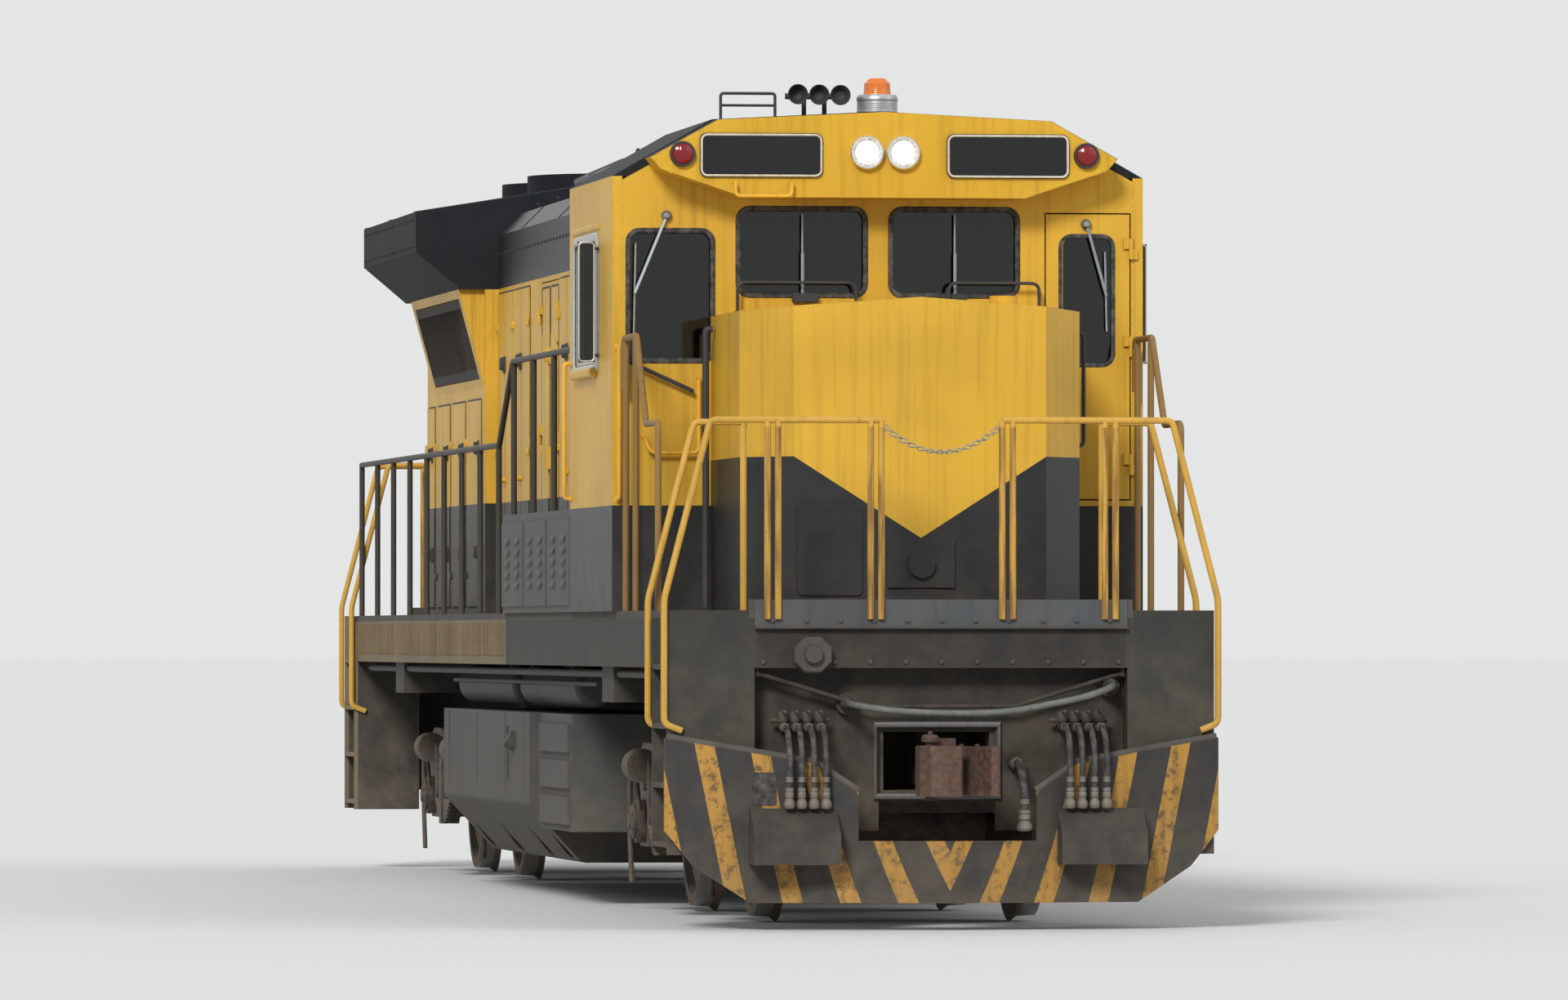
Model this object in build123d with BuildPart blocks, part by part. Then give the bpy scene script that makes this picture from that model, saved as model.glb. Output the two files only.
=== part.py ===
"""A four-axle road-switcher diesel locomotive with a short low nose, a cab the full width of the
platform, a narrow long hood and a flared radiator cabin under wide wings.

Millimetres. X points to the cab end, Y to the left-hand side, Z up.
The origin is under the middle of the locomotive, level with the lowest point of the wheel flanges.
"""

import os
from math import cos, radians, sin, tan

from build123d import *

os.makedirs("parts", exist_ok=True)

# Clearances
running_gap = 0.3
door_gap = 8

# Rail and wheels
flange_height = 28
rail_top = flange_height
wheel_radius = 508
wheel_back = 676.5
tread_width = 140
flange_width = 38
rim_depth = 68
plate_inner = 725
plate_outer = 765
hub_inner = 655
hub_outer = 850
axle_radius = 95
journal_radius = 75
journal_start = 895
journal_end = 1100
axle_height = rail_top + wheel_radius

# Platform
platform_half_length = 9450
platform_half_width = 1520
deck_height = rail_top + 1750
deck_plate = 40
sill_bottom = rail_top + 1430
sill_plate = 40
sill_flange = 120
centre_sill_y = 380
centre_sill_bottom = 1160
centre_sill_web = 40
centre_sill_flange = 200
end_sill_length = 200
end_lip_height = 60

# Trucks
truck_centre = platform_half_length - 3350
wheelbase = 2743
frame_inner = 930
frame_thickness = 150
frame_top = 960
frame_end = 2060
bowl_radius = 215
bowl_wall = 45
bowl_floor = 1050
pin_radius = 60
bolster_length = 560
body_bolster_bottom = 1250

# Steps in the platform corners
step_length = 660
step_depth = 440
step_count = 4
step_first = rail_top + 430
step_plate = 30
step_back = 20
step_proud = 20

# Couplers
coupler_height = rail_top + 860
coupler_face = platform_half_length + 659
coupler_pivot = platform_half_length - 750
coupler_pin = 45
draft_box_start = coupler_pivot - 300
draft_box_drop = 175
draft_wall = 60

# Nose
nose_front = platform_half_length - 800
nose_taper_start = nose_front - 450
nose_half = 975
nose_front_half = 720
nose_edge_height = rail_top + 3450
nose_height = rail_top + 3520
nose_crease = 35

# Cab
cab_front_x = nose_front - 1750
cab_rear_x = cab_front_x - 2150
cab_half = 1550
cab_wall = 60
cab_floor = rail_top + 2360
floor_plate = 60
eave_height = rail_top + 4260
roof_edge_height = rail_top + 4590
roof_height = rail_top + 4640
roof_flat_half = 970
roof_plate = 50
roof_overhang = 60

# Long hood
hood_half = 940
hood_wall = 40
hood_front_x = cab_rear_x - 3800
hood_rear_x = 4600 - platform_half_length
hood_eave = rail_top + 4300
hood_height = rail_top + 4450
hood_flat_half = 790
blower_height = rail_top + 4590
blower_wide_half = 1090
blower_wide_x = (hood_front_x, cab_rear_x - 600)
blower_step = rail_top + 3950
panel_proud = 12

# Radiator cabin and wings
radiator_rear_x = hood_rear_x - 3800
radiator_half = 1030
flare_x = (radiator_rear_x + 550, hood_rear_x - 50)
flare_bottom = rail_top + 3280
flare_top = rail_top + 3940
flare_half = 1204
grille_x = (radiator_rear_x + 700, hood_rear_x - 200)
grille_border = 60
grille_recess = 60
wing_x = (radiator_rear_x + 200, hood_rear_x)
wing_half = 1500
wing_lower = rail_top + 4190
wing_upper = rail_top + 4460
wing_flat_half = 430
wing_height = rail_top + 4630

# Lockers under the raised walkway behind the cab
right_locker_x = (hood_front_x, cab_rear_x)
left_locker_x = (hood_front_x + 1950, cab_rear_x)

# Handrails
rail_radius = 19
rail_y = 1490
rail_height = deck_height + 1060
locker_rail_height = cab_floor + 960
post_pitch = 1180
end_rail_x = platform_half_length + rail_radius

# Doors
door_thickness = 40
hinge_radius = 14
hinge_length = 60
leaf_width = 500
hood_door_x = -1700
hood_door_bottom = deck_height + 60
hood_door_top = rail_top + 3900
cab_door_bottom = cab_floor + 40
cab_door_top = rail_top + 4050
cab_door_width = 490
cab_door_edge = 1480

# Fans
fan_radius = 600
fan_ring_wall = 30
fan_ring_height = 110
fan_ring_seat = 60
fan_recess = 240
fan_spindle = 80
fan_hub = 130
fan_blades = 8
fan_pitch = 0.4
radiator_fans_x = (hood_rear_x - 1000, hood_rear_x - 2600)
brake_fan_x = hood_front_x + 1650

# Hoses
hose_radius = 17
hose_pitch = 68
hose_first_y = 685
hose_count = 4
hose_height = rail_top + 1100
nozzle_end = platform_half_length + 45
brake_hose_radius = 23
brake_hose_y = 430
brake_hose_height = rail_top + 900
brake_nozzle_end = platform_half_length - 50
jumper_radius = 19


def save(part, name):
    """Writes one node to its STEP file."""
    part.label = name
    export_step(part, f"parts/{name}.step")


def block(x_range, y_range, z_range, mode=Mode.ADD):
    """A box between two limits along each axis, in the current part."""
    x0, x1 = sorted(x_range)
    y0, y1 = sorted(y_range)
    z0, z1 = sorted(z_range)
    with Locations(((x0 + x1) / 2, (y0 + y1) / 2, (z0 + z1) / 2)):
        Box(x1 - x0, y1 - y0, z1 - z0, mode=mode)


def bar(start, end, radius, mode=Mode.ADD):
    """A round bar from one point to another, in the current part."""
    line = Vector(*end) - Vector(*start)
    with BuildSketch(Plane(origin=start, z_dir=line)) as disc:
        Circle(radius)
    extrude(disc.sketch, amount=line.length, mode=mode)


def bent_bar(points, radius, bend):
    """A round bar along straight runs joined by tangent arcs, in the current part."""
    with BuildLine() as route:
        FilletPolyline(*points, radius=bend)
    with BuildSketch(Plane(origin=route.line @ 0, z_dir=route.line % 0)) as disc:
        Circle(radius)
    sweep(disc.sketch, path=route.line)


def across(points, x_range, mode=Mode.ADD):
    """An outline across the locomotive, as (y, z) points, carried from one x to another."""
    x0, x1 = sorted(x_range)
    with BuildSketch(Plane.YZ.offset(x0)) as outline:
        with BuildLine():
            Polyline(*points, close=True)
        make_face()
    extrude(outline.sketch, amount=x1 - x0, mode=mode)


def along(points, y_range, mode=Mode.ADD):
    """A side outline, as (x, z) points, carried from one y to another."""
    y0, y1 = sorted(y_range)
    with BuildSketch(Plane.XZ.offset(-y1)) as outline:
        with BuildLine():
            Polyline(*points, close=True)
        make_face()
    extrude(outline.sketch, amount=y1 - y0, mode=mode)


def mirrored(points):
    """One half of a symmetrical outline, followed by its mirror image."""
    return [*points, *[(-y, z) for y, z in reversed(points) if y != 0]]


def turned(part):
    """The same piece at the other end of the locomotive."""
    return part.rotate(Axis.Z, 180)


# Platform: the deck, and under it sills, body bolsters with centre plates, and draft boxes
step_rear_x = platform_half_length - step_length - step_plate - step_back
step_inner_y = platform_half_width - step_depth
deck_underside = deck_height - deck_plate
draft_bottom = coupler_height - draft_box_drop
draft_box_half = centre_sill_y - centre_sill_web / 2
sheet_x = platform_half_length - end_sill_length

with BuildPart() as deck:
    block(
        (-platform_half_length, platform_half_length),
        (-platform_half_width, platform_half_width),
        (deck_underside, deck_height),
    )
    for end in (-1, 1):
        for side in (-1, 1):
            block(
                (end * step_rear_x, end * (platform_half_length + 1)),
                (side * step_inner_y, side * (platform_half_width + 1)),
                (deck_underside - 1, deck_height + 1),
                Mode.SUBTRACT,
            )
        block(
            (end * (platform_half_length - sill_plate), end * platform_half_length),
            (-step_inner_y, step_inner_y),
            (deck_height, deck_height + end_lip_height),
        )
save(deck.part, "deck")

with BuildPart() as underframe:
    for side in (-1, 1):
        outer = side * platform_half_width
        block(
            (-step_rear_x, step_rear_x),
            (outer - side * sill_plate, outer),
            (sill_bottom, deck_underside),
        )
        block(
            (-step_rear_x, step_rear_x),
            (outer - side * sill_flange, outer),
            (sill_bottom, sill_bottom + sill_plate / 2),
        )
        web = side * centre_sill_y
        block(
            (-sheet_x, sheet_x),
            (web - centre_sill_web / 2, web + centre_sill_web / 2),
            (centre_sill_bottom, deck_underside),
        )
        block(
            (-draft_box_start, draft_box_start),
            (web - centre_sill_flange / 2, web + centre_sill_flange / 2),
            (centre_sill_bottom, centre_sill_bottom + centre_sill_web),
        )
    for end in (-1, 1):
        block(
            (end * sheet_x, end * platform_half_length),
            (-step_inner_y, step_inner_y),
            (sill_bottom, deck_underside),
        )
        # body bolster, with the centre plate and pin that the truck turns on
        block(
            (
                end * (truck_centre - bolster_length / 2),
                end * (truck_centre + bolster_length / 2),
            ),
            (-platform_half_width + sill_plate, platform_half_width - sill_plate),
            (body_bolster_bottom, deck_underside),
        )
        bar(
            (end * truck_centre, 0, bowl_floor + running_gap),
            (end * truck_centre, 0, body_bolster_bottom),
            bowl_radius - 5,
        )
        bar(
            (end * truck_centre, 0, frame_top + 20),
            (end * truck_centre, 0, body_bolster_bottom),
            pin_radius,
        )
        # draft box round the coupler's tail
        block(
            (end * draft_box_start, end * sheet_x),
            (-draft_box_half, draft_box_half),
            (draft_bottom, centre_sill_bottom + centre_sill_web),
        )
        block(
            (end * (draft_box_start + draft_wall), end * (sheet_x + 1)),
            (-draft_box_half + draft_wall, draft_box_half - draft_wall),
            (draft_bottom + draft_wall, centre_sill_bottom - draft_wall),
            Mode.SUBTRACT,
        )
        bar(
            (end * coupler_pivot, 0, draft_bottom + 1),
            (end * coupler_pivot, 0, centre_sill_bottom),
            coupler_pin,
        )
save(underframe.part, "underframe")

# Fuel tank between the trucks, with a valve box ahead of it
tank_x = (2450 - truck_centre, truck_centre - 4600)
valve_box_x = (tank_x[1] + 100, tank_x[1] + 1800)
tank_half = 1430
tank_bottom = rail_top + 200
tank_knee = 360
tank_fillet = 60
tank_outline = [
    (tank_half - 330, tank_bottom),
    (tank_half, tank_bottom + tank_knee),
    (tank_half, centre_sill_bottom),
]
with BuildPart() as fuel_tank:
    across(mirrored(tank_outline), tank_x)
    low_edges = fuel_tank.edges().filter_by(Axis.X).group_by(Axis.Z)[:-1]
    fillet([edge for group in low_edges for edge in group], tank_fillet)
    for side in (-1, 1):
        # filler neck and level glass
        neck_x = tank_x[1] - 900
        bar(
            (neck_x, side * (tank_half - 20), centre_sill_bottom - 200),
            (neck_x, side * (tank_half + 45), centre_sill_bottom - 165),
            55,
        )
        glass_x = tank_x[1] - 1250
        bar(
            (glass_x, side * (tank_half + 10), centre_sill_bottom - 420),
            (glass_x, side * (tank_half + 10), centre_sill_bottom - 90),
            18,
        )
save(fuel_tank.part, "fuel_tank")

with BuildPart() as valve_box:
    for side in (-1, 1):
        block(
            valve_box_x,
            (side * 640, side * (tank_half - 60)),
            (tank_bottom + 220, centre_sill_bottom),
        )
        for shelf in range(3):
            height = tank_bottom + 260 + 220 * shelf
            block(
                (valve_box_x[0] + 80, valve_box_x[1] - 80),
                (side * (tank_half - 61), side * (tank_half - 40)),
                (height, height + 170),
            )
    block(
        (valve_box_x[0] + 200, valve_box_x[1] - 200),
        (-641, 641),
        (centre_sill_bottom - 120, centre_sill_bottom),
    )
save(valve_box.part, "valve_box")

# Main air reservoirs in the gap between the tank and the deck
reservoir_radius = 120
reservoir_y = 1230
reservoir_z = centre_sill_bottom + 40 + reservoir_radius
with BuildPart() as air_reservoirs:
    for side in (-1, 1):
        for x0, x1 in ((tank_x[0] + 150, -200), (200, valve_box_x[1])):
            bar(
                (x0, side * reservoir_y, reservoir_z),
                (x1, side * reservoir_y, reservoir_z),
                reservoir_radius,
            )
    fillet(air_reservoirs.edges().filter_by(GeomType.CIRCLE), 50)
    for side in (-1, 1):
        for x in (tank_x[0] + 550, -600, 600, valve_box_x[1] - 400):
            block(
                (x - 20, x + 20),
                (side * reservoir_y - 90, side * reservoir_y + 90),
                (reservoir_z, deck_underside),
            )
save(air_reservoirs.part, "air_reservoirs")

# Plough: a shallow V in plan, cut to its front outline, with a footboard on each side
plough_point = platform_half_length + 340
plough_edge = platform_half_length + 30
plough_half = 1560
plough_plate = 24
plough_bottom = rail_top + 125
plough_outer_top = rail_top + 1040
plough_inner_top = rail_top + 740
notch_half = 500
notch_bottom = rail_top + 470
footboard_y = (620, 1100)
footboard_z = (rail_top + 340, rail_top + 650)
footboard_depth = 190
well_front = platform_half_length - step_plate
sheet_front = sheet_x + step_plate
sheet_bottom = rail_top + 520


def plough_face(y):
    """How far forward the plough's front surface stands at a distance from the centreline."""
    return plough_point - (plough_point - plough_edge) * abs(y) / plough_half


with BuildPart() as plough:
    with BuildSketch(Plane.XY.offset(plough_bottom)):
        with BuildLine():
            Polyline(
                (plough_point, 0),
                (plough_edge, plough_half),
                (plough_edge - plough_plate, plough_half),
                (plough_point - plough_plate, 0),
                (plough_edge - plough_plate, -plough_half),
                (plough_edge, -plough_half),
                close=True,
            )
        make_face()
    extrude(amount=plough_outer_top - plough_bottom)
    with BuildSketch(Plane.YZ.offset(plough_edge - 100)):
        with BuildLine():
            Polyline(
                *mirrored(
                    [
                        (1090, plough_bottom),
                        (1400, plough_bottom + 200),
                        (plough_half, plough_bottom + 400),
                        (plough_half, plough_outer_top),
                        (740, plough_inner_top + 160),
                        (notch_half, plough_inner_top),
                        (notch_half, notch_bottom),
                    ]
                ),
                close=True,
            )
        make_face()
    extrude(amount=500, mode=Mode.INTERSECT)
    for side in (-1, 1):
        # ribs that tie the plough to the step wells and to the end sheet
        for y, back, low, top in (
            (560, sheet_front, sheet_bottom, rail_top + 700),
            (1090, platform_half_length, rail_top + 440, rail_top + 900),
            (1450, platform_half_length, rail_top + 440, rail_top + 980),
        ):
            block((back, plough_face(y + 15) - 5), (side * y, side * (y + 15)), (low, top))
        face_in = plough_face(footboard_y[0])
        face_out = plough_face(footboard_y[1])
        along(
            [
                (face_out - 10, footboard_z[0]),
                (face_in + footboard_depth, footboard_z[0]),
                (face_in + footboard_depth, footboard_z[0] + 170),
                (face_in, footboard_z[1]),
                (face_out - 10, footboard_z[1]),
            ],
            (side * footboard_y[0], side * footboard_y[1]),
        )
save(plough.part, "plough")

# Pilots: end sheet, corner step wells, pipe ends, uncoupling lever and jumper sockets
mouth_half = 330
socket_face = sheet_front + 130
dummy_socket = (-520, rail_top + 1230)
live_socket = (960, rail_top + 1330)
lever_x = sheet_front + 110


def make_pilot():
    """End sheet with two corner step wells and the ends of the air pipes."""
    with BuildPart() as pilot:
        block((sheet_x, sheet_front), (-step_inner_y, step_inner_y), (sheet_bottom, sill_bottom))
        block(
            (sheet_x - 1, sheet_front + 1),
            (-mouth_half, mouth_half),
            (sheet_bottom - 1, coupler_height + 240),
            Mode.SUBTRACT,
        )
        for side in (-1, 1):
            outer = side * (platform_half_width + step_proud)
            inner = side * step_inner_y
            low = step_first - 40
            block((step_rear_x, step_rear_x + step_back), (inner, outer), (low, deck_underside))
            block((well_front, platform_half_length), (inner, outer), (low, deck_height))
            block((step_rear_x, well_front), (inner, inner + side * step_plate), (low, deck_height))
            block(
                (sheet_x, platform_half_length),
                (inner - side * step_plate, inner),
                (sheet_bottom, sill_bottom),
            )
            for step in range(step_count):
                height = step_first + step * (deck_height - step_first) / step_count
                block((step_rear_x, well_front), (inner, outer), (height, height + step_plate))
            for hose in range(hose_count):
                y = side * (hose_first_y + hose * hose_pitch)
                bar((sheet_front, y, hose_height), (nozzle_end, y, hose_height), hose_radius)
                bar((nozzle_end - 90, y, hose_height), (nozzle_end - 20, y, hose_height), 26)
            block(
                (sheet_front, sheet_front + 130),
                (side * 1020, side * 1040),
                (rail_top + 1380, rail_top + 1430),
            )
        bar(
            (sheet_front, brake_hose_y, brake_hose_height),
            (brake_nozzle_end, brake_hose_y, brake_hose_height),
            brake_hose_radius,
        )
        bar(
            (brake_nozzle_end - 100, brake_hose_y, brake_hose_height),
            (brake_nozzle_end - 20, brake_hose_y, brake_hose_height),
            38,
        )
        # uncoupling lever, slung low over the coupler
        bent_bar(
            [
                (lever_x, -1030, rail_top + 1400),
                (lever_x, -420, rail_top + 1215),
                (lever_x, 420, rail_top + 1215),
                (lever_x, 1030, rail_top + 1400),
            ],
            13,
            120,
        )
        for y, z in (dummy_socket, live_socket):
            bar((sheet_front, y, z), (socket_face - 60, y, z), 60)
            bar((socket_face - 60, y, z), (socket_face, y, z), 40)
    return pilot.part


pilot_piece = make_pilot()
save(turned(pilot_piece), "pilot_rear")
save(pilot_piece, "pilot_front")

# Knuckle couplers: eye, shank, head with guard arm, knuckle and lock lifter
head_rear = coupler_face - 420
head_height = 270
shank_half = 75


def make_coupler():
    """Coupler that swings on the draft box's pin, with its knuckle closed."""
    with BuildPart() as coupler:
        with BuildSketch(Plane.XY.offset(coupler_height - head_height / 2)):
            with BuildLine():
                Polyline(
                    (head_rear - 60, -80),
                    (head_rear + 60, -190),
                    (head_rear + 190, -200),
                    (head_rear + 215, -110),
                    (head_rear + 230, 60),
                    (head_rear + 330, 150),
                    (coupler_face - 20, 190),
                    (coupler_face - 20, 240),
                    (head_rear + 250, 225),
                    (head_rear + 60, 150),
                    (head_rear - 60, 80),
                    close=True,
                )
            make_face()
        extrude(amount=head_height)
        fillet(coupler.edges().filter_by(Axis.Z), 18)
        # knuckle: its hub on the pin side and its nose across the mouth
        with BuildSketch(Plane.XY.offset(coupler_height - head_height / 2 - 5)):
            with BuildLine():
                Polyline(
                    (head_rear + 150, -195),
                    (coupler_face - 90, -205),
                    (coupler_face - 15, -150),
                    (coupler_face, -60),
                    (coupler_face - 25, 25),
                    (coupler_face - 85, 35),
                    (coupler_face - 110, -40),
                    (head_rear + 200, -60),
                    close=True,
                )
            make_face()
            fillet(vertices(), 15)
        extrude(amount=head_height + 10)
        bar(
            (head_rear + 225, -130, coupler_height - 165),
            (head_rear + 225, -130, coupler_height + 170),
            28,
        )
        block(
            (coupler_pivot, head_rear),
            (-shank_half, shank_half),
            (coupler_height - 85, coupler_height + 85),
        )
        bar(
            (coupler_pivot, 0, coupler_height - 85),
            (coupler_pivot, 0, coupler_height + 85),
            95,
        )
        bar(
            (coupler_pivot, 0, coupler_height - 90),
            (coupler_pivot, 0, coupler_height + 90),
            coupler_pin + running_gap,
            Mode.SUBTRACT,
        )
        block(
            (head_rear + 70, head_rear + 180),
            (-110, 20),
            (coupler_height + 100, coupler_height + head_height / 2 + 45),
        )
    return coupler.part


coupler_piece = make_coupler()
save(turned(coupler_piece), "coupler_rear")
save(coupler_piece, "coupler_front")

# Nose: bevelled in plan, creased along its front and ridged along its top
with BuildPart() as nose:
    with BuildSketch(Plane.XY.offset(deck_height)):
        with BuildLine():
            Polyline(
                (cab_front_x, -nose_half),
                (nose_taper_start, -nose_half),
                (nose_front - nose_crease, -nose_front_half),
                (nose_front, 0),
                (nose_front - nose_crease, nose_front_half),
                (nose_taper_start, nose_half),
                (cab_front_x, nose_half),
                close=True,
            )
        make_face()
    extrude(amount=nose_height - deck_height)
    with BuildSketch(Plane.YZ.offset(cab_front_x)):
        with BuildLine():
            Polyline(
                (-nose_half - 10, deck_height),
                (-nose_half - 10, nose_edge_height),
                (0, nose_height),
                (nose_half + 10, nose_edge_height),
                (nose_half + 10, deck_height),
                close=True,
            )
        make_face()
    extrude(amount=nose_front - cab_front_x, mode=Mode.INTERSECT)
    # low hatch with its lamp, and the sand filler cap
    block(
        (nose_front - nose_crease - 5, nose_front + 12),
        (-190, 190),
        (rail_top + 1880, rail_top + 2150),
    )
    bar((nose_front, 0, rail_top + 2010), (nose_front + 45, 0, rail_top + 2010), 75)
    bar(
        (nose_front - 330, 520, nose_edge_height),
        (nose_front - 330, 520, nose_height + 15),
        80,
    )
save(nose.part, "nose")


# Doors: leaves made round their own hinge line, then placed
def hinge_levels(height):
    """Heights of the moving hinge halves above the leaf's bottom."""
    return (200, height / 2 + hinge_length, height - 200)


def make_leaf(height, width, hand, window=None):
    """A door leaf that reaches to one hand of its hinge line, its outer face towards -Y.

    The window is its distance from the hinge line, its width, its sill and its height.
    """
    face = hinge_radius
    with BuildPart() as leaf:
        block(
            (hand * door_gap, hand * (door_gap + width)),
            (face, face + door_thickness),
            (0, height),
        )
        if window:
            inset, cut_width, sill, cut_height = window
            with BuildSketch(Plane.XZ.offset(-face - door_thickness - 1)):
                with Locations((hand * (inset + cut_width / 2), sill + cut_height / 2)):
                    RectangleRounded(cut_width, cut_height, 60)
            extrude(amount=door_thickness + 2, mode=Mode.SUBTRACT)
        for level in hinge_levels(height):
            bar((0, 0, level), (0, 0, level + hinge_length), hinge_radius)
            block((0, hand * 45), (-4, face), (level, level + hinge_length))
        # latch handle near the free edge
        grip = hand * (door_gap + width - 45)
        block((grip - 12, grip + 12), (face - 30, face), (height * 0.42, height * 0.42 + 150))
    return leaf.part


def make_hinges(height, hand):
    """The fixed halves of a leaf's lift-off hinges, which the leaf's halves stand on."""
    with BuildPart() as hinges:
        for level in hinge_levels(height):
            top = level - running_gap
            bar((0, 0, top - hinge_length), (0, 0, top), hinge_radius)
            block((0, -hand * 40), (-4, hinge_radius), (top - hinge_length, top))
    return hinges.part


# Cab walls, each with its windows and doorway
cab_door_height = cab_door_top - cab_door_bottom
front_hinge = Location((cab_front_x + hinge_radius, cab_door_edge, cab_door_bottom), (0, 0, 90))
rear_hinge = Location((cab_rear_x - hinge_radius, -cab_door_edge, cab_door_bottom), (0, 0, -90))
window_corner = 60
front_window_y = (80, 810)
front_window_z = (rail_top + 3580, rail_top + 4070)
corner_window_y = (970, 1450)
corner_window_z = (rail_top + 3200, rail_top + 3940)
side_window_x = (cab_rear_x + 270, cab_front_x - 700)
side_window_z = (rail_top + 3180, rail_top + 3920)
door_window = (100, 300, 780, 740)
roof_inside = [
    (cab_half - cab_wall, eave_height - 20),
    (roof_flat_half - 30, roof_edge_height - roof_plate),
    (0, roof_height - roof_plate),
]
front_panes = (
    ((-front_window_y[1], -front_window_y[0]), front_window_z),
    (front_window_y, front_window_z),
    ((-corner_window_y[1], -corner_window_y[0]), corner_window_z),
)


def window_sheet(plane, u_range, v_range, depth, mode=Mode.ADD):
    """A round-cornered panel the shape of a window, in the current part."""
    with BuildSketch(plane) as outline:
        with Locations((sum(u_range) / 2, sum(v_range) / 2)):
            RectangleRounded(u_range[1] - u_range[0], v_range[1] - v_range[0], window_corner)
    extrude(outline.sketch, amount=depth, mode=mode)


def cut_doorway(x_range, side):
    """A doorway beside the nose or the hood, wide enough for the leaf and its gaps."""
    outer = side * cab_door_edge
    inner = outer - side * (cab_door_width + 2 * door_gap)
    block(
        x_range,
        (outer, inner),
        (cab_door_bottom - door_gap, cab_door_top + door_gap),
        Mode.SUBTRACT,
    )


with BuildPart() as cab_front_wall:
    across(
        mirrored([(cab_half - cab_wall, deck_height), *roof_inside]),
        (cab_front_x - cab_wall, cab_front_x),
    )
    for y_range, z_range in front_panes:
        window_sheet(
            Plane.YZ.offset(cab_front_x - cab_wall - 1),
            y_range,
            z_range,
            cab_wall + 2,
            Mode.SUBTRACT,
        )
    cut_doorway((cab_front_x - cab_wall - 1, cab_front_x + 1), 1)
    add(make_hinges(cab_door_height, -1).moved(front_hinge))
save(cab_front_wall.part, "cab_front_wall")

with BuildPart() as cab_rear_wall:
    across(
        mirrored([(cab_half - cab_wall, deck_height), *roof_inside]),
        (cab_rear_x, cab_rear_x + cab_wall),
    )
    cut_doorway((cab_rear_x - 1, cab_rear_x + cab_wall + 1), -1)
    add(make_hinges(cab_door_height, -1).moved(rear_hinge))
save(cab_rear_wall.part, "cab_rear_wall")

with BuildPart() as cab_side_walls:
    for side in (-1, 1):
        wall_y = sorted((side * (cab_half - cab_wall), side * cab_half))
        block((cab_rear_x, cab_front_x), wall_y, (deck_height, eave_height))
        window_sheet(
            Plane.XZ.offset(-wall_y[1] - 1),
            side_window_x,
            side_window_z,
            cab_wall + 2,
            Mode.SUBTRACT,
        )
save(cab_side_walls.part, "cab_side_walls")

with BuildPart() as cab_floor_plate:
    block(
        (cab_rear_x + cab_wall, cab_front_x - cab_wall),
        (-cab_half + cab_wall, cab_half - cab_wall),
        (cab_floor - floor_plate, cab_floor),
    )
save(cab_floor_plate.part, "cab_floor")

# Cab roof, with the housing for lamps and number boards across its front
housing_x = (cab_front_x, cab_front_x + 270)
with BuildPart() as cab_roof:
    across(
        mirrored(
            [(cab_half, eave_height), (roof_flat_half, roof_edge_height), (0, roof_height)]
        ),
        (cab_rear_x - roof_overhang, cab_front_x),
    )
    across(mirrored(roof_inside), (cab_rear_x - roof_overhang - 1, cab_front_x + 1), Mode.SUBTRACT)
    across(
        mirrored(
            [
                (1000, rail_top + 4217),
                (1250, rail_top + 4270),
                (1310, rail_top + 4350),
                (roof_flat_half, roof_edge_height - 15),
                (0, roof_height - 15),
            ]
        ),
        housing_x,
    )
save(cab_roof.part, "cab_roof")

# Cab doors
cab_leaf = make_leaf(cab_door_height, cab_door_width, -1, door_window)
save(cab_leaf.moved(front_hinge), "cab_front_door")
save(cab_leaf.moved(rear_hinge), "cab_rear_door")

# Window glass, set in the middle of the walls
glass_thickness = 8
with BuildPart() as cab_glass:
    for y_range, z_range in front_panes:
        window_sheet(
            Plane.YZ.offset(cab_front_x - cab_wall / 2 - glass_thickness / 2),
            y_range,
            z_range,
            glass_thickness,
        )
    for side in (-1, 1):
        window_sheet(
            Plane.XZ.offset(side * (cab_half - cab_wall / 2) - glass_thickness / 2),
            side_window_x,
            side_window_z,
            glass_thickness,
        )
save(cab_glass.part, "cab_glass")

# Cab inside: driver's desk on the right, two seats, and the electrical cabinet behind
desk_x = cab_front_x - 500
with BuildPart() as control_desk:
    block((desk_x - 250, desk_x), (-900, -420), (cab_floor, cab_floor + 1050))
    along(
        [
            (desk_x, cab_floor + 600),
            (desk_x + 240, cab_floor + 600),
            (desk_x + 240, cab_floor + 980),
            (desk_x, cab_floor + 1080),
        ],
        (-900, -300),
    )
    block(
        (cab_rear_x + cab_wall, cab_rear_x + 350), (-450, 900), (cab_floor, cab_floor + 1900)
    )
save(control_desk.part, "control_desk")

seat_height = 420
seat_x = cab_rear_x + 900
seat_places = ((seat_x, -1050), (seat_x, 1050))
with BuildPart() as cab_seats:
    for x, y in seat_places:
        bar((x, y, cab_floor), (x, y, cab_floor + seat_height), 50)
        block(
            (x - 230, x + 230),
            (y - 240, y + 240),
            (cab_floor + seat_height, cab_floor + seat_height + 100),
        )
        along(
            [
                (x - 230, cab_floor + seat_height + 80),
                (x - 140, cab_floor + seat_height + 80),
                (x - 200, cab_floor + seat_height + 660),
                (x - 280, cab_floor + seat_height + 660),
            ],
            (y - 230, y + 230),
        )
save(cab_seats.part, "cab_seats")

# Lockers under the raised walkway, with louvred doors in relief
louvre_width = 220
louvre_height = 24
louvre_proud = 14
locker_pitch = 1250


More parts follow.
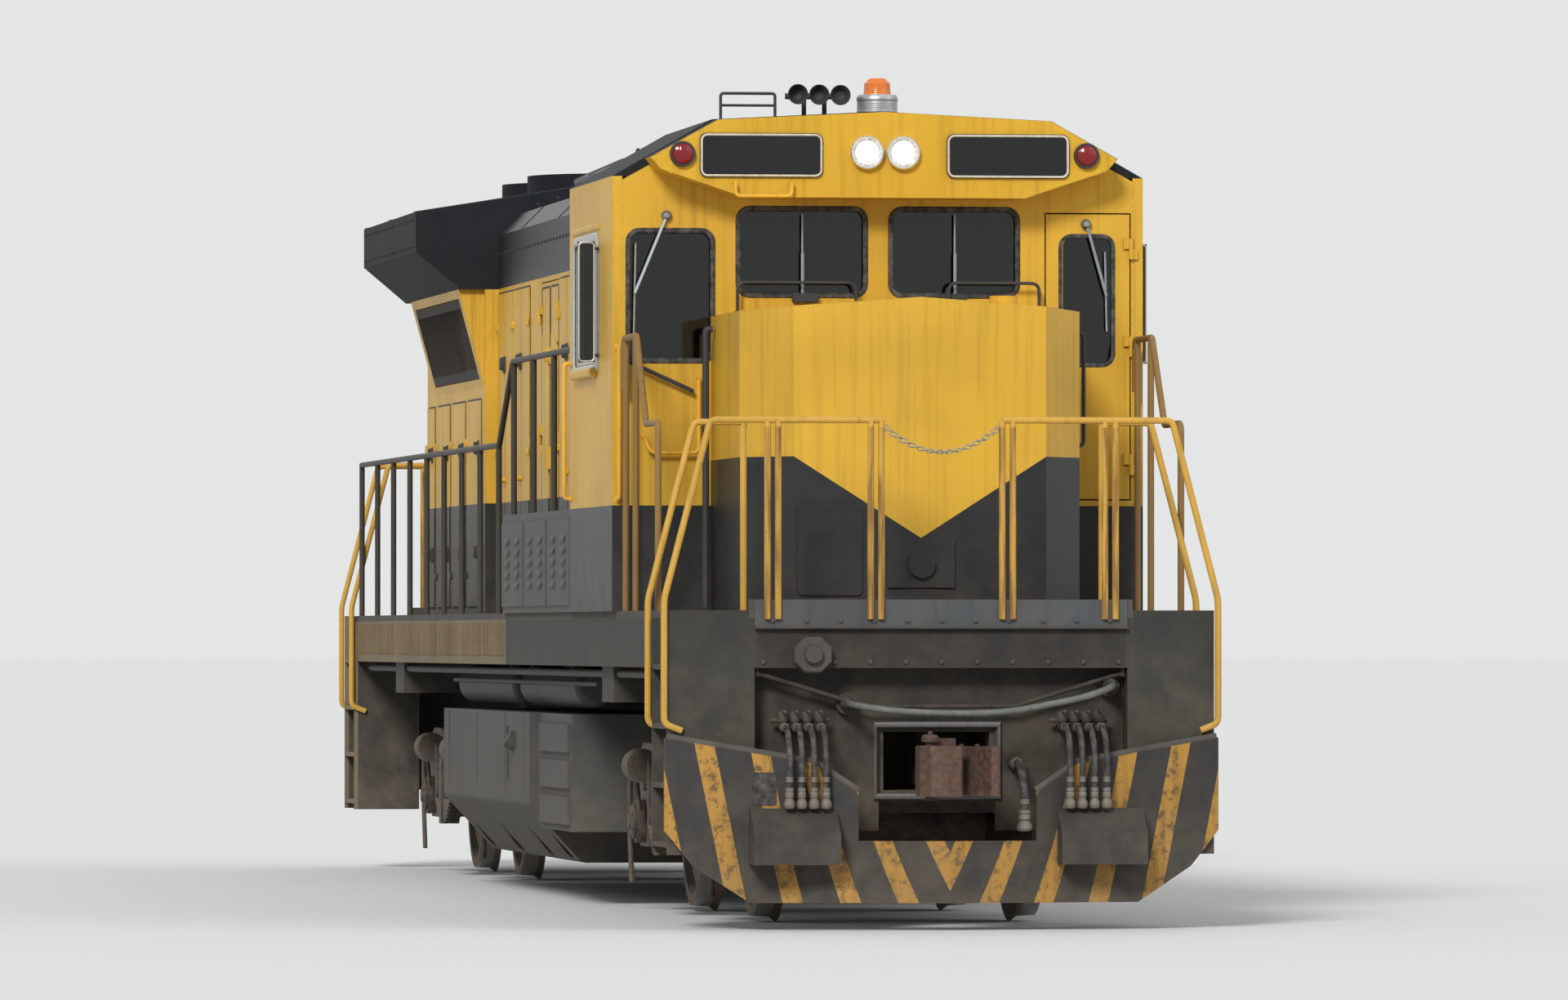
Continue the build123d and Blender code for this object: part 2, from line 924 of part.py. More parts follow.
def louvres(x_centre, face, side, z_range, count):
    """A column of louvre hoods standing out of a side wall."""
    z0, z1 = z_range
    with BuildSketch(Plane.YZ.offset(x_centre - louvre_width / 2)) as hoods:
        for row in range(count):
            z = z0 + (z1 - z0) * (row + 0.5) / count
            with BuildLine():
                Polyline(
                    (side * (face - 2), z + louvre_height),
                    (side * (face + louvre_proud), z - louvre_height / 2),
                    (side * (face + louvre_proud), z - louvre_height),
                    (side * (face - 2), z - louvre_height),
                    close=True,
                )
            make_face()
    extrude(hoods.sketch, amount=louvre_width)


with BuildPart() as lockers:
    for side, x_range in ((-1, right_locker_x), (1, left_locker_x)):
        block(
            x_range,
            (side * (hood_half + 1), side * (cab_half - panel_proud)),
            (deck_height, cab_floor),
        )
        doors = round((x_range[1] - x_range[0]) / locker_pitch)
        pitch = (x_range[1] - x_range[0]) / doors
        for door in range(doors):
            x0 = x_range[0] + door * pitch
            block(
                (x0 + 35, x0 + pitch - 35),
                (side * (cab_half - panel_proud - 1), side * cab_half),
                (deck_height + 40, cab_floor - 50),
            )
            for column in (0.28, 0.72):
                louvres(
                    x0 + column * pitch,
                    cab_half,
                    side,
                    (rail_top + 1890, rail_top + 2230),
                    5,
                )
        # step up at the end of the locker
        block(
            (x_range[0] - 280, x_range[0]),
            (side * (hood_half + 20), side * (cab_half - 60)),
            (deck_height, (deck_height + cab_floor) / 2),
        )
save(lockers.part, "lockers")


# Fans: a recess with a spindle in the body, a ring round it and a bladed rotor inside
def fan_well(x, top):
    """Recess, ring seat and spindle for a fan, cut into the current part."""
    floor = top - fan_recess
    bar((x, 0, floor), (x, 0, top + 100), fan_radius, Mode.SUBTRACT)
    bar((x, 0, top - fan_ring_seat), (x, 0, top + 100), fan_radius + fan_ring_wall, Mode.SUBTRACT)
    bar((x, 0, floor), (x, 0, floor + fan_spindle), fan_hub - 40)


def make_rotor():
    """Hub with pitched blades, its underside at the origin."""
    with BuildPart() as rotor:
        bar((0, 0, 0), (0, 0, 110), fan_hub)
        for number in range(fan_blades):
            angle = radians(number * 360 / fan_blades)
            pitched = Plane(
                origin=(0, 0, 50),
                x_dir=(cos(angle), sin(angle), 0),
                z_dir=(-fan_pitch * sin(angle), fan_pitch * cos(angle), 1),
            )
            with BuildSketch(pitched):
                with BuildLine():
                    Polyline(
                        (fan_hub - 30, -60),
                        (fan_radius - 40, -110),
                        (fan_radius - 40, 90),
                        (fan_hub - 30, 50),
                        close=True,
                    )
                make_face()
            extrude(amount=8)
    return rotor.part


# Hood behind the cab: air intakes low down, and a wider brake-grid box above
blower_front_x = cab_rear_x - roof_overhang - 20
with BuildPart() as blower_hood:
    across(
        mirrored([(hood_half, deck_height), (hood_half, hood_eave), (hood_flat_half, blower_height)]),
        (hood_front_x, blower_front_x),
    )
    across(
        mirrored(
            [
                (hood_half - 1, blower_step),
                (blower_wide_half, blower_step + 90),
                (blower_wide_half, blower_height - 130),
                (hood_flat_half, blower_height),
            ]
        ),
        blower_wide_x,
    )
    block(
        (blower_front_x - 1, cab_rear_x),
        (-hood_half, hood_half),
        (deck_height, rail_top + 4100),
    )
    fan_well(brake_fan_x, blower_height)
    for side in (-1, 1):
        for x_range in (
            (cab_rear_x - 1750, cab_rear_x - 450),
            (hood_front_x + 200, hood_front_x + 1850),
        ):
            block(
                x_range,
                (side * (hood_half - 1), side * (hood_half + panel_proud)),
                (rail_top + 2500, rail_top + 3800),
            )
        for column in range(5):
            louvres(
                cab_rear_x - 1630 + column * 262,
                hood_half + panel_proud,
                side,
                (rail_top + 2950, rail_top + 3740),
                9,
            )
        for column in range(6):
            louvres(
                hood_front_x + 550 + column * 420,
                blower_wide_half,
                side,
                (blower_step + 130, blower_step + 470),
                4,
            )
save(blower_hood.part, "blower_hood")

# Engine hood: a shell with one pair of opening doors each side, the rest in relief
hood_door_height = hood_door_top - hood_door_bottom
fixed_door_pairs = (
    hood_rear_x + 520,
    hood_rear_x + 1500,
    hood_front_x - 1600,
    hood_front_x - 610,
)
half_opening = leaf_width + 1.5 * door_gap


def hood_hinges():
    """Each opening hood door: its name, its hand, and where its hinge line stands."""
    for side, turn, side_name in ((-1, 0, "right"), (1, 180, "left")):
        for end, end_name in ((-1, "rear"), (1, "front")):
            place = Location(
                (
                    hood_door_x + end * half_opening,
                    side * (hood_half + hinge_radius),
                    hood_door_bottom,
                ),
                (0, 0, turn),
            )
            yield f"hood_door_{side_name}_{end_name}", side * end, place


with BuildPart() as engine_hood:
    across(
        mirrored([(hood_half, deck_height), (hood_half, hood_eave), (hood_flat_half, hood_height)]),
        (hood_rear_x, hood_front_x),
    )
    across(
        mirrored(
            [
                (hood_half - hood_wall, deck_height - 1),
                (hood_half - hood_wall, hood_eave - 15),
                (hood_flat_half - 15, hood_height - hood_wall),
            ]
        ),
        (hood_rear_x - 1, hood_front_x + 1),
        Mode.SUBTRACT,
    )
    for side in (-1, 1):
        block(
            (hood_door_x - half_opening, hood_door_x + half_opening),
            (side * (hood_half - hood_wall - 1), side * (hood_half + 1)),
            (hood_door_bottom - door_gap, hood_door_top + door_gap),
            Mode.SUBTRACT,
        )
        for x in fixed_door_pairs:
            for half in (-1, 1):
                centre = x + half * 235
                block(
                    (centre - 222, centre + 222),
                    (side * (hood_half - 1), side * (hood_half + panel_proud)),
                    (hood_door_bottom, hood_door_top),
                )
                bar(
                    (centre - half * 180, side * hood_half, deck_height + 900),
                    (centre - half * 180, side * (hood_half + 40), deck_height + 900),
                    18,
                )
    for _, hand, place in hood_hinges():
        add(make_hinges(hood_door_height, hand).moved(place))
save(engine_hood.part, "engine_hood")

for name, hand, place in hood_hinges():
    save(make_leaf(hood_door_height, leaf_width, hand).moved(place), name)

# Engine and generator under the hood, as one block
with BuildPart() as engine_block:
    across(
        mirrored(
            [
                (480, deck_height),
                (560, deck_height + 700),
                (720, deck_height + 1500),
                (520, deck_height + 1850),
            ]
        ),
        (hood_rear_x + 450, hood_front_x - 550),
    )
save(engine_block.part, "engine_block")

# Exhaust stack on the hood roof
stack_x = -2300
with BuildPart() as exhaust_stack:
    with BuildSketch(Plane.XY.offset(hood_height)):
        with Locations((stack_x, 0)):
            RectangleRounded(1000, 420, 60)
    extrude(amount=60)
    with BuildSketch(Plane.XY.offset(hood_height + 60)):
        with Locations((stack_x, 0)):
            RectangleRounded(760, 300, 100)
    extrude(amount=110)
    with BuildSketch(Plane.XY.offset(hood_height + 40)):
        with Locations((stack_x, 0)):
            RectangleRounded(720, 260, 85)
    extrude(amount=140, mode=Mode.SUBTRACT)
save(exhaust_stack.part, "exhaust_stack")

# Radiator cabin: lower walls, slanted intakes and the hood's rear end
with BuildPart() as radiator_cabin:
    block((radiator_rear_x, hood_rear_x), (-radiator_half, radiator_half), (deck_height, flare_top))
    across(mirrored([(radiator_half - 1, flare_bottom), (flare_half, flare_top)]), flare_x)
    across(
        mirrored([(hood_half, flare_top), (hood_half, hood_eave), (hood_flat_half, hood_height)]),
        (radiator_rear_x, wing_x[0]),
    )
    for side in (-1, 1):
        across(
            [
                (side * (radiator_half - grille_recess + 15), flare_bottom + grille_border),
                (side * (radiator_half + 60), flare_bottom + grille_border),
                (side * (flare_half + 60), flare_top - grille_border),
                (side * (flare_half - grille_recess - 15), flare_top - grille_border),
            ],
            grille_x,
            Mode.SUBTRACT,
        )
        for back, half_width in ((650, 430), (1650, 430), (2650, 430), (3480, 230)):
            centre = hood_rear_x - back
            block(
                (centre - half_width, centre + half_width),
                (side * (radiator_half - 1), side * (radiator_half + panel_proud)),
                (hood_door_bottom, rail_top + 3200),
            )
    # end door in relief
    block(
        (radiator_rear_x - panel_proud, radiator_rear_x + 1),
        (-320, 320),
        (deck_height + 120, rail_top + 3500),
    )
save(radiator_cabin.part, "radiator_cabin")

# Intake grilles: upright slats between two rails, lying in the slanted recesses
grille_slats = 31
grille_slat_width = 20
grille_rail = 60
grille_depth = 26
flare_rise = flare_top - flare_bottom
flare_reach = flare_half - radiator_half
flare_length = (flare_rise**2 + flare_reach**2) ** 0.5
grille_length = grille_x[1] - grille_x[0]
grille_clear = 2 * grille_depth * flare_reach / flare_rise
grille_width = flare_length * (1 - 2 * grille_border / flare_rise) - grille_clear

with BuildPart() as radiator_grilles:
    for side in (-1, 1):
        intake = Plane(
            origin=(
                sum(grille_x) / 2,
                side * (radiator_half + flare_half) / 2,
                (flare_bottom + flare_top) / 2,
            ),
            x_dir=(1, 0, 0),
            z_dir=(0, side * flare_rise, -flare_reach),
        )
        with BuildSketch(intake) as grille:
            with GridLocations(1, grille_width - grille_rail, 1, 2):
                Rectangle(grille_length, grille_rail)
            slat_pitch = (grille_length - grille_slat_width) / (grille_slats - 1)
            with GridLocations(slat_pitch, 1, grille_slats, 1):
                Rectangle(grille_slat_width, grille_width)
        extrude(grille.sketch, amount=-grille_depth)
save(radiator_grilles.part, "radiator_grilles")

# Wings over the radiators, with a well for each fan
with BuildPart() as radiator_wings:
    across(
        mirrored(
            [
                (flare_half, flare_top),
                (wing_half, wing_lower),
                (wing_half, wing_upper),
                (wing_flat_half, wing_height),
            ]
        ),
        wing_x,
    )
    for x in radiator_fans_x:
        fan_well(x, wing_height)
save(radiator_wings.part, "radiator_wings")

fans = (
    ("radiator_fan_front", radiator_fans_x[0], wing_height),
    ("radiator_fan_rear", radiator_fans_x[1], wing_height),
    ("brake_fan", brake_fan_x, blower_height),
)
guard_bar = 12
with BuildPart() as fan_housings:
    for _, x, top in fans:
        with BuildSketch(Plane.XY.offset(top - fan_ring_seat)):
            with Locations((x, 0)):
                Circle(fan_radius + fan_ring_wall)
                Circle(fan_radius, mode=Mode.SUBTRACT)
        extrude(amount=fan_ring_seat + fan_ring_height)
        guard_z = (top + fan_ring_height - guard_bar, top + fan_ring_height)
        for offset_y in (-400, -200, 0, 200, 400):
            reach = (fan_radius**2 - offset_y**2) ** 0.5 + 10
            block(
                (x - reach, x + reach),
                (offset_y - guard_bar / 2, offset_y + guard_bar / 2),
                guard_z,
            )
        block(
            (x - guard_bar / 2, x + guard_bar / 2),
            (-fan_radius - 10, fan_radius + 10),
            guard_z,
        )
save(fan_housings.part, "fan_housings")

rotor_piece = make_rotor()
for name, x, top in fans:
    base = top - fan_recess + fan_spindle + running_gap
    save(rotor_piece.moved(Location((x, 0, base))), name)

# End handrails: two posts each side of the middle gap, and a rail down each side of the steps
inner_post_y = 370
outer_post_y = 950
stair_top_y = 1300
stair_foot_y = 1560
stair_foot_z = rail_top + 1120


def make_end_rails():
    """Handrails across one end platform and at its corner steps."""
    with BuildPart() as rails:
        for side in (-1, 1):
            for y in (inner_post_y, outer_post_y):
                bar(
                    (end_rail_x, side * y, deck_height - 200),
                    (end_rail_x, side * y, rail_height),
                    rail_radius,
                )
            for x, start_y in (
                (end_rail_x, inner_post_y),
                (step_rear_x - rail_radius, outer_post_y + 50),
            ):
                bent_bar(
                    [
                        (x, side * start_y, rail_height),
                        (x, side * stair_top_y, rail_height),
                        (x, side * stair_foot_y, deck_height + 60),
                        (x, side * stair_foot_y, stair_foot_z),
                        (x, side * (platform_half_width - 60), stair_foot_z - 40),
                    ],
                    rail_radius,
                    35,
                )
            bar(
                (step_rear_x - rail_radius, side * (outer_post_y + 70), deck_height),
                (step_rear_x - rail_radius, side * (outer_post_y + 70), rail_height),
                rail_radius,
            )
    return rails.part


end_rails = make_end_rails()
save(turned(end_rails), "handrails_rear")
save(end_rails, "handrails_front")

# Side handrails: posts on the platform's edge and on the lockers
side_rail_front = step_rear_x - 120
with BuildPart() as handrails_side:
    for side, locker_x in ((-1, right_locker_x), (1, left_locker_x)):
        rear_end = -step_rear_x + 40
        low_end = locker_x[0] - 650
        y = side * rail_y
        bent_bar(
            [
                (rear_end, y, rail_height),
                (low_end, y, rail_height),
                (locker_x[0] + 150, y, locker_rail_height),
                (cab_rear_x - 120, y, locker_rail_height),
                (cab_rear_x - 120, y, locker_rail_height - 250),
            ],
            rail_radius,
            60,
        )
        bent_bar(
            [
                (cab_front_x + 90, y, locker_rail_height - 300),
                (cab_front_x + 90, y, locker_rail_height),
                (cab_front_x + 700, y, locker_rail_height),
                (cab_front_x + 1150, y, rail_height),
                (side_rail_front, y, rail_height),
                (side_rail_front, y, deck_height),
            ],
            rail_radius,
            60,
        )
        span = low_end - rear_end - 40
        posts = round(span / post_pitch)
        for post in range(posts + 1):
            x = rear_end + 20 + span * post / posts
            bar((x, y, deck_height), (x, y, rail_height), rail_radius)
        locker_span = cab_rear_x - 250 - locker_x[0] - 200
        locker_posts = round(locker_span / post_pitch)
        for post in range(locker_posts + 1):
            x = locker_x[0] + 200 + locker_span * post / locker_posts
            bar((x, y, cab_floor), (x, y, locker_rail_height), rail_radius)
        for x in (cab_front_x + 180, cab_front_x + 660):
            bar((x, y, deck_height), (x, y, locker_rail_height), rail_radius)
save(handrails_side.part, "handrails_side")

# Lamps, number boards and markers, on the cab housing and on the hood's rear end
lamp_z = rail_top + 4420
rear_lamp_z = rail_top + 4230
lamp_radius = 88
lamp_pitch = 210
lamp_depth = 45
board_y = (370, 1050)
board_z = (rail_top + 4275, rail_top + 4515)
rear_board_y = (330, 800)
rear_board_z = (rail_top + 4050, rail_top + 4270)
board_thickness = 18
marker_radius = 62
marker_depth = 40

with BuildPart() as headlamps:
    for x, z, facing in ((housing_x[1], lamp_z, 1), (radiator_rear_x, rear_lamp_z, -1)):
        for y in (-lamp_pitch / 2, lamp_pitch / 2):
            bar((x, y, z), (x + facing * lamp_depth, y, z), lamp_radius)
            bar(
                (x + facing * lamp_depth / 2, y, z),
                (x + facing * (lamp_depth + 1), y, z),
                lamp_radius - 14,
                Mode.SUBTRACT,
            )
save(headlamps.part, "headlamps")

with BuildPart() as number_boards:
    for start_x, y_range, z_range in (
        (housing_x[1], board_y, board_z),
        (radiator_rear_x - board_thickness, rear_board_y, rear_board_z),
    ):
        for side in (-1, 1):
            with BuildSketch(Plane.YZ.offset(start_x)) as board:
                with Locations((side * sum(y_range) / 2, sum(z_range) / 2)):
                    RectangleRounded(y_range[1] - y_range[0], z_range[1] - z_range[0], 40)
            extrude(board.sketch, amount=board_thickness)
save(number_boards.part, "number_boards")

with BuildPart() as marker_lamps:
    for x, y, z, facing in (
        (housing_x[1], 1140, rail_top + 4372, 1),
        (radiator_rear_x, 700, rail_top + 3850, -1),
    ):
        for side in (-1, 1):
            bar((x, side * y, z), (x + facing * marker_depth, side * y, z), marker_radius)
save(marker_lamps.part, "marker_lamps")


def roof_surface(y):
    """Height of the cab roof's outside at a distance from the centreline."""
    return roof_height - (roof_height - roof_edge_height) * abs(y) / roof_flat_half


# Horn: three trumpets on a common bar, on the cab roof
horn_x = cab_front_x - 550
horn_y = -640
horn_z = roof_height + 110
with BuildPart() as horn:
    for offset_x in (-60, 60):
        foot = roof_surface(horn_y + 14) + running_gap
        bar((horn_x + offset_x, horn_y, foot), (horn_x + offset_x, horn_y, horn_z), 14)
    block((horn_x - 90, horn_x + 90), (horn_y - 170, horn_y + 170), (horn_z - 20, horn_z + 15))
    for offset_y, length in ((-130, 380), (0, 300), (130, 240)):
        y = horn_y + offset_y
        with BuildSketch(Plane.XY.offset(horn_z)):
            with BuildLine():
                Polyline(
                    (horn_x - 60, y),
                    (horn_x - 60, y + 18),
                    (horn_x + length * 0.6, y + 24),
                    (horn_x + length, y + 55),
                    (horn_x + length, y),
                    close=True,
                )
            make_face()
        revolve(axis=Axis((horn_x, y, horn_z), (1, 0, 0)))
save(horn.part, "horn")

# Flashing beacon on the cab roof
beacon_x = cab_front_x - 400
beacon_y = 50
beacon_base = roof_height + running_gap
with BuildPart() as beacon:
    with BuildSketch(Plane.XZ.offset(-beacon_y)):
        with BuildLine():
            Polyline(
                (beacon_x, beacon_base),
                (beacon_x + 120, beacon_base),
                (beacon_x + 120, beacon_base + 60),
                (beacon_x + 105, beacon_base + 70),
                (beacon_x + 100, beacon_base + 160),
                (beacon_x + 70, beacon_base + 205),
                (beacon_x, beacon_base + 215),
                close=True,
            )
        make_face()
    revolve(axis=Axis((beacon_x, beacon_y, 0), (0, 0, 1)))
save(beacon.part, "beacon")

# Wind wings with mirrors beside the cab windows
with BuildPart() as mirrors:
    mirror_x = side_window_x[1] + 60
    for side in (-1, 1):
        for z in (side_window_z[0] + 60, side_window_z[1] - 60):
            bar((mirror_x, side * cab_half, z), (mirror_x, side * (cab_half + 40), z), 9)
        block(
            (mirror_x - 10, mirror_x + 10),
            (side * (cab_half + 25), side * (cab_half + 125)),
            (side_window_z[0] + 20, side_window_z[1] - 20),
        )
save(mirrors.part, "mirrors")

# Trucks: half of the side frame's outline as distance from the truck's centre, and height
side_frame_half = [
    (0, frame_top),
    (700, frame_top),
    (1150, frame_top + 40),
    (1600, frame_top + 40),
    (frame_end, frame_top - 120),
    (frame_end, frame_top - 330),
    (1680, frame_top - 330),
    (1660, 430),
    (1590, 430),
    (1590, frame_top - 160),
    (1153, frame_top - 160),
    (1153, 430),
    (1083, 430),
    (1050, frame_top - 330),
    (560, frame_top - 330),
    (480, frame_top - 220),
    (0, frame_top - 220),
]
axle_offset = wheelbase / 2
frame_outer = frame_inner + frame_thickness
box_half = 205
box_above = 180
box_below = 150
box_proud = 20
spring_radius = 62
shoe_gap = 14


def make_truck():
    """Side frames, transoms, bolster with its bowl, journal boxes, springs, hangers and brakes."""
    outline = mirrored(side_frame_half)
    with BuildPart() as truck:
        for side in (-1, 1):
            along(outline, (side * frame_inner, side * frame_outer))
            # leaf springs hung outside the frame, under the bolster's ends
            for leaf in range(6):
                reach = 470 - 55 * leaf
                level = rail_top + 500 - 26 * leaf
                block(
                    (-reach, reach),
                    (side * (frame_outer + 10), side * (frame_outer + 110)),
                    (level - 26, level),
                )
            block(
                (-60, 60),
                (side * (frame_outer - 1), side * (frame_outer + 125)),
                (rail_top + 330, rail_top + 780),
            )
            for end in (-1, 1):
                block(
                    (end * 430, end * 480),
                    (side * (frame_outer - 1), side * (frame_outer + 110)),
                    (rail_top + 480, frame_top - 60),
                )
                # journal box between the pedestal legs, with coil springs over it
                centre = end * axle_offset
                block(
                    (centre - box_half, centre + box_half),
                    (side * (frame_inner - 30), side * (frame_outer + box_proud)),
                    (axle_height - box_below, axle_height + box_above),
                )
                bar(
                    (centre, side * (frame_outer + box_proud), axle_height),
                    (centre, side * (frame_outer + box_proud + 55), axle_height),
                    130,
                )
                bar(
                    (centre, side * (frame_inner - 31), axle_height),
                    (centre, side * (journal_end + running_gap), axle_height),
                    journal_radius + running_gap,
                    Mode.SUBTRACT,
                )
                for offset_x in (-110, 110):
                    bar(
                        (centre + offset_x, side * (frame_inner + 75), axle_height + box_above),
                        (centre + offset_x, side * (frame_inner + 75), frame_top - 160),
                        spring_radius,
                    )
                # brake cylinder, and a brake head on each side of the wheel
                bar(
                    (end * 700, side * (frame_outer + 105), frame_top - 90),
                    (end * 980, side * (frame_outer + 105), frame_top - 90),
                    100,
                )
                block(
                    (end * 740, end * 940),
                    (side * (frame_outer - 1), side * (frame_outer + 60)),
                    (frame_top - 140, frame_top - 40),
                )
                for shoe_side in (-1, 1):
                    shoe_x = centre + shoe_side * (wheel_radius + shoe_gap)
                    block(
                        (shoe_x, shoe_x + shoe_side * 60),
                        (side * 722, side * 806),
                        (axle_height - 130, axle_height + 130),
                    )
                    block(
                        (shoe_x + shoe_side * 20, shoe_x + shoe_side * 60),
                        (side * 740, side * (frame_inner + 1)),
                        (axle_height + 60, axle_height + 130),
                    )
        for end in (-1, 1):
            block(
                (end * 300, end * 430),
                (-frame_inner - 1, frame_inner + 1),
                (frame_top - 330, frame_top - 60),
            )
            block(
                (end * (frame_end - 90), end * frame_end),
                (-frame_inner - 1, frame_inner + 1),
                (frame_top - 330, frame_top - 180),
            )
        block((-250, 250), (-frame_inner - 1, frame_inner + 1), (frame_top - 210, frame_top))
        bar((0, 0, frame_top), (0, 0, bowl_floor + 35), bowl_radius + bowl_wall)
        bar((0, 0, bowl_floor), (0, 0, bowl_floor + 36), bowl_radius, Mode.SUBTRACT)
        bar((0, 0, frame_top), (0, 0, bowl_floor + 1), pin_radius + 5, Mode.SUBTRACT)
    return truck.part


motor_half = 520


def make_motors():
    """Two axle-hung motors, each between its axle and the truck's transom."""
    with BuildPart() as motors:
        for end in (-1, 1):
            axle_x = end * axle_offset
            block(
                (end * 430, end * (axle_offset - 130)),
                (-motor_half, motor_half),
                (axle_height - 290, axle_height + 330),
            )
            block(
                (end * (axle_offset - 140), axle_x),
                (-motor_half, motor_half),
                (axle_height - 120, axle_height + 120),
            )
            bar((axle_x, -motor_half, axle_height), (axle_x, motor_half, axle_height), 170)
            bar(
                (axle_x, -motor_half - 1, axle_height),
                (axle_x, motor_half + 1, axle_height),
                axle_radius + running_gap,
                Mode.SUBTRACT,
            )
    return motors.part


# Half of the wheelset's turned profile, as radius and distance from the centreline
wheelset_half = [
    (axle_radius, 0),
    (axle_radius, hub_inner),
    (wheel_radius - rim_depth, plate_inner),
    (wheel_radius - rim_depth, wheel_back),
    (wheel_radius + flange_height, wheel_back),
    (wheel_radius, wheel_back + flange_width),
    (wheel_radius - 4, wheel_back + tread_width),
    (wheel_radius - rim_depth, wheel_back + tread_width),
    (wheel_radius - rim_depth, plate_outer),
    (axle_radius, hub_outer),
    (axle_radius, journal_start),
    (journal_radius, journal_start),
    (journal_radius, journal_end),
    (0, journal_end),
]


def make_wheelset():
    """Axle with its two wheels, turned as one profile."""
    outline = mirrored([(y, axle_height + r) for r, y in wheelset_half])
    with BuildPart() as wheelset:
        with BuildSketch(Plane.YZ):
            with BuildLine():
                Polyline(*outline, close=True)
            make_face()
        revolve(axis=Axis((0, 0, axle_height), (0, 1, 0)))
    return wheelset.part


truck_piece = make_truck()
motors_piece = make_motors()
for x, name in ((truck_centre, "front"), (-truck_centre, "rear")):
    save(truck_piece.moved(Location((x, 0, 0))), f"truck_{name}")
    save(motors_piece.moved(Location((x, 0, 0))), f"motors_{name}")

axles = (
    truck_centre + axle_offset,
    truck_centre - axle_offset,
    -truck_centre + axle_offset,
    -truck_centre - axle_offset,
)
wheelset_piece = make_wheelset()
for number, x in enumerate(axles, start=1):
    save(wheelset_piece.moved(Location((x, 0, 0))), f"wheelset_{number}")

# Hose routes: forward from the fitting and down, as distance ahead and height
hose_drop = [
    (0, 0),
    (76, 0),
    (146, -29),
    (200, -83),
    (229, -153),
    (230, -229),
    (224, -305),
    (224, -380),
]
brake_hose_drop = [
    (0, 0),
    (102, 0),
    (196, -39),
    (268, -111),
    (307, -205),
    (307, -305),
]
dummy_y, dummy_z = dummy_socket
live_y, live_z = live_socket
jumper_route = [
    (socket_face, dummy_y, dummy_z),
    (socket_face + 75, dummy_y, dummy_z),
    (socket_face + 146, dummy_y + 23, dummy_z - 8),
    (socket_face + 207, dummy_y + 67, dummy_z - 17),
    (socket_face + 251, dummy_y + 128, dummy_z - 27),
    (socket_face + 274, dummy_y + 199, dummy_z - 36),
    (socket_face + 276, dummy_y + 345, dummy_z - 48),
    (socket_face + 270, dummy_y + 600, dummy_z - 56),
    (socket_face + 276, dummy_y + 870, dummy_z - 46),
    (socket_face + 272, live_y - 355, live_z - 98),
    (socket_face + 274, live_y - 199, live_z - 66),
    (socket_face + 251, live_y - 128, live_z - 44),
    (socket_face + 207, live_y - 67, live_z - 26),
    (socket_face + 146, live_y - 23, live_z - 11),
    (socket_face + 75, live_y, live_z),
    (socket_face, live_y, live_z),
]


def bends(points):
    """The largest bend radius that each corner's two runs leave room for."""
    places = [Vector(*point) for point in points]
    radii = []
    for before, here, after in zip(places, places[1:], places[2:]):
        half_turn = radians((here - before).get_angle(after - here)) / 2
        run = min((here - before).length, (after - here).length)
        radii.append(0.45 * run / tan(half_turn))
    return radii


def hose_tube(points, radius):
    """A hose along its route, in the current part."""
    with BuildLine() as route:
        FilletPolyline(*points, radius=bends(points))
    with BuildSketch(Plane(origin=route.line @ 0, z_dir=route.line % 0)) as disc:
        Circle(radius)
    sweep(disc.sketch, path=route.line)


def drop_points(start, drop):
    """A drop's points in space, from the fitting that it starts at."""
    x, y, z = start
    return [(x + ahead, y, z + rise) for ahead, rise in drop]


hose_starts = [
    (nozzle_end, side * (hose_first_y + hose * hose_pitch), hose_height)
    for side in (-1, 1)
    for hose in range(hose_count)
]
brake_hose_start = (brake_nozzle_end, brake_hose_y, brake_hose_height)
with BuildPart() as mu_hoses:
    for start in hose_starts:
        hose_tube(drop_points(start, hose_drop), hose_radius)
save(mu_hoses.part, "mu_hoses")

with BuildPart() as brake_hose:
    hose_tube(drop_points(brake_hose_start, brake_hose_drop), brake_hose_radius)
save(brake_hose.part, "brake_hose")

with BuildPart() as jumper_cable:
    hose_tube(jumper_route, jumper_radius)
save(jumper_cable.part, "jumper_cable")

# Coupling heads at the hoses' ends
with BuildPart() as hose_couplings:
    for start in hose_starts:
        x, y, top = drop_points(start, hose_drop)[-1]
        block((x - 24, x + 24), (y - 22, y + 22), (top - 85, top))
    x, y, top = drop_points(brake_hose_start, brake_hose_drop)[-1]
    block((x - 45, x + 45), (y - 30, y + 30), (top - 70, top))
save(hose_couplings.part, "hose_couplings")
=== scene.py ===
"""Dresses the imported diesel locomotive: enamel, glass, lamps, hoses and small fittings.

Metres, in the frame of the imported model: X to the cab end, Y to the left-hand side, Z up.
"""

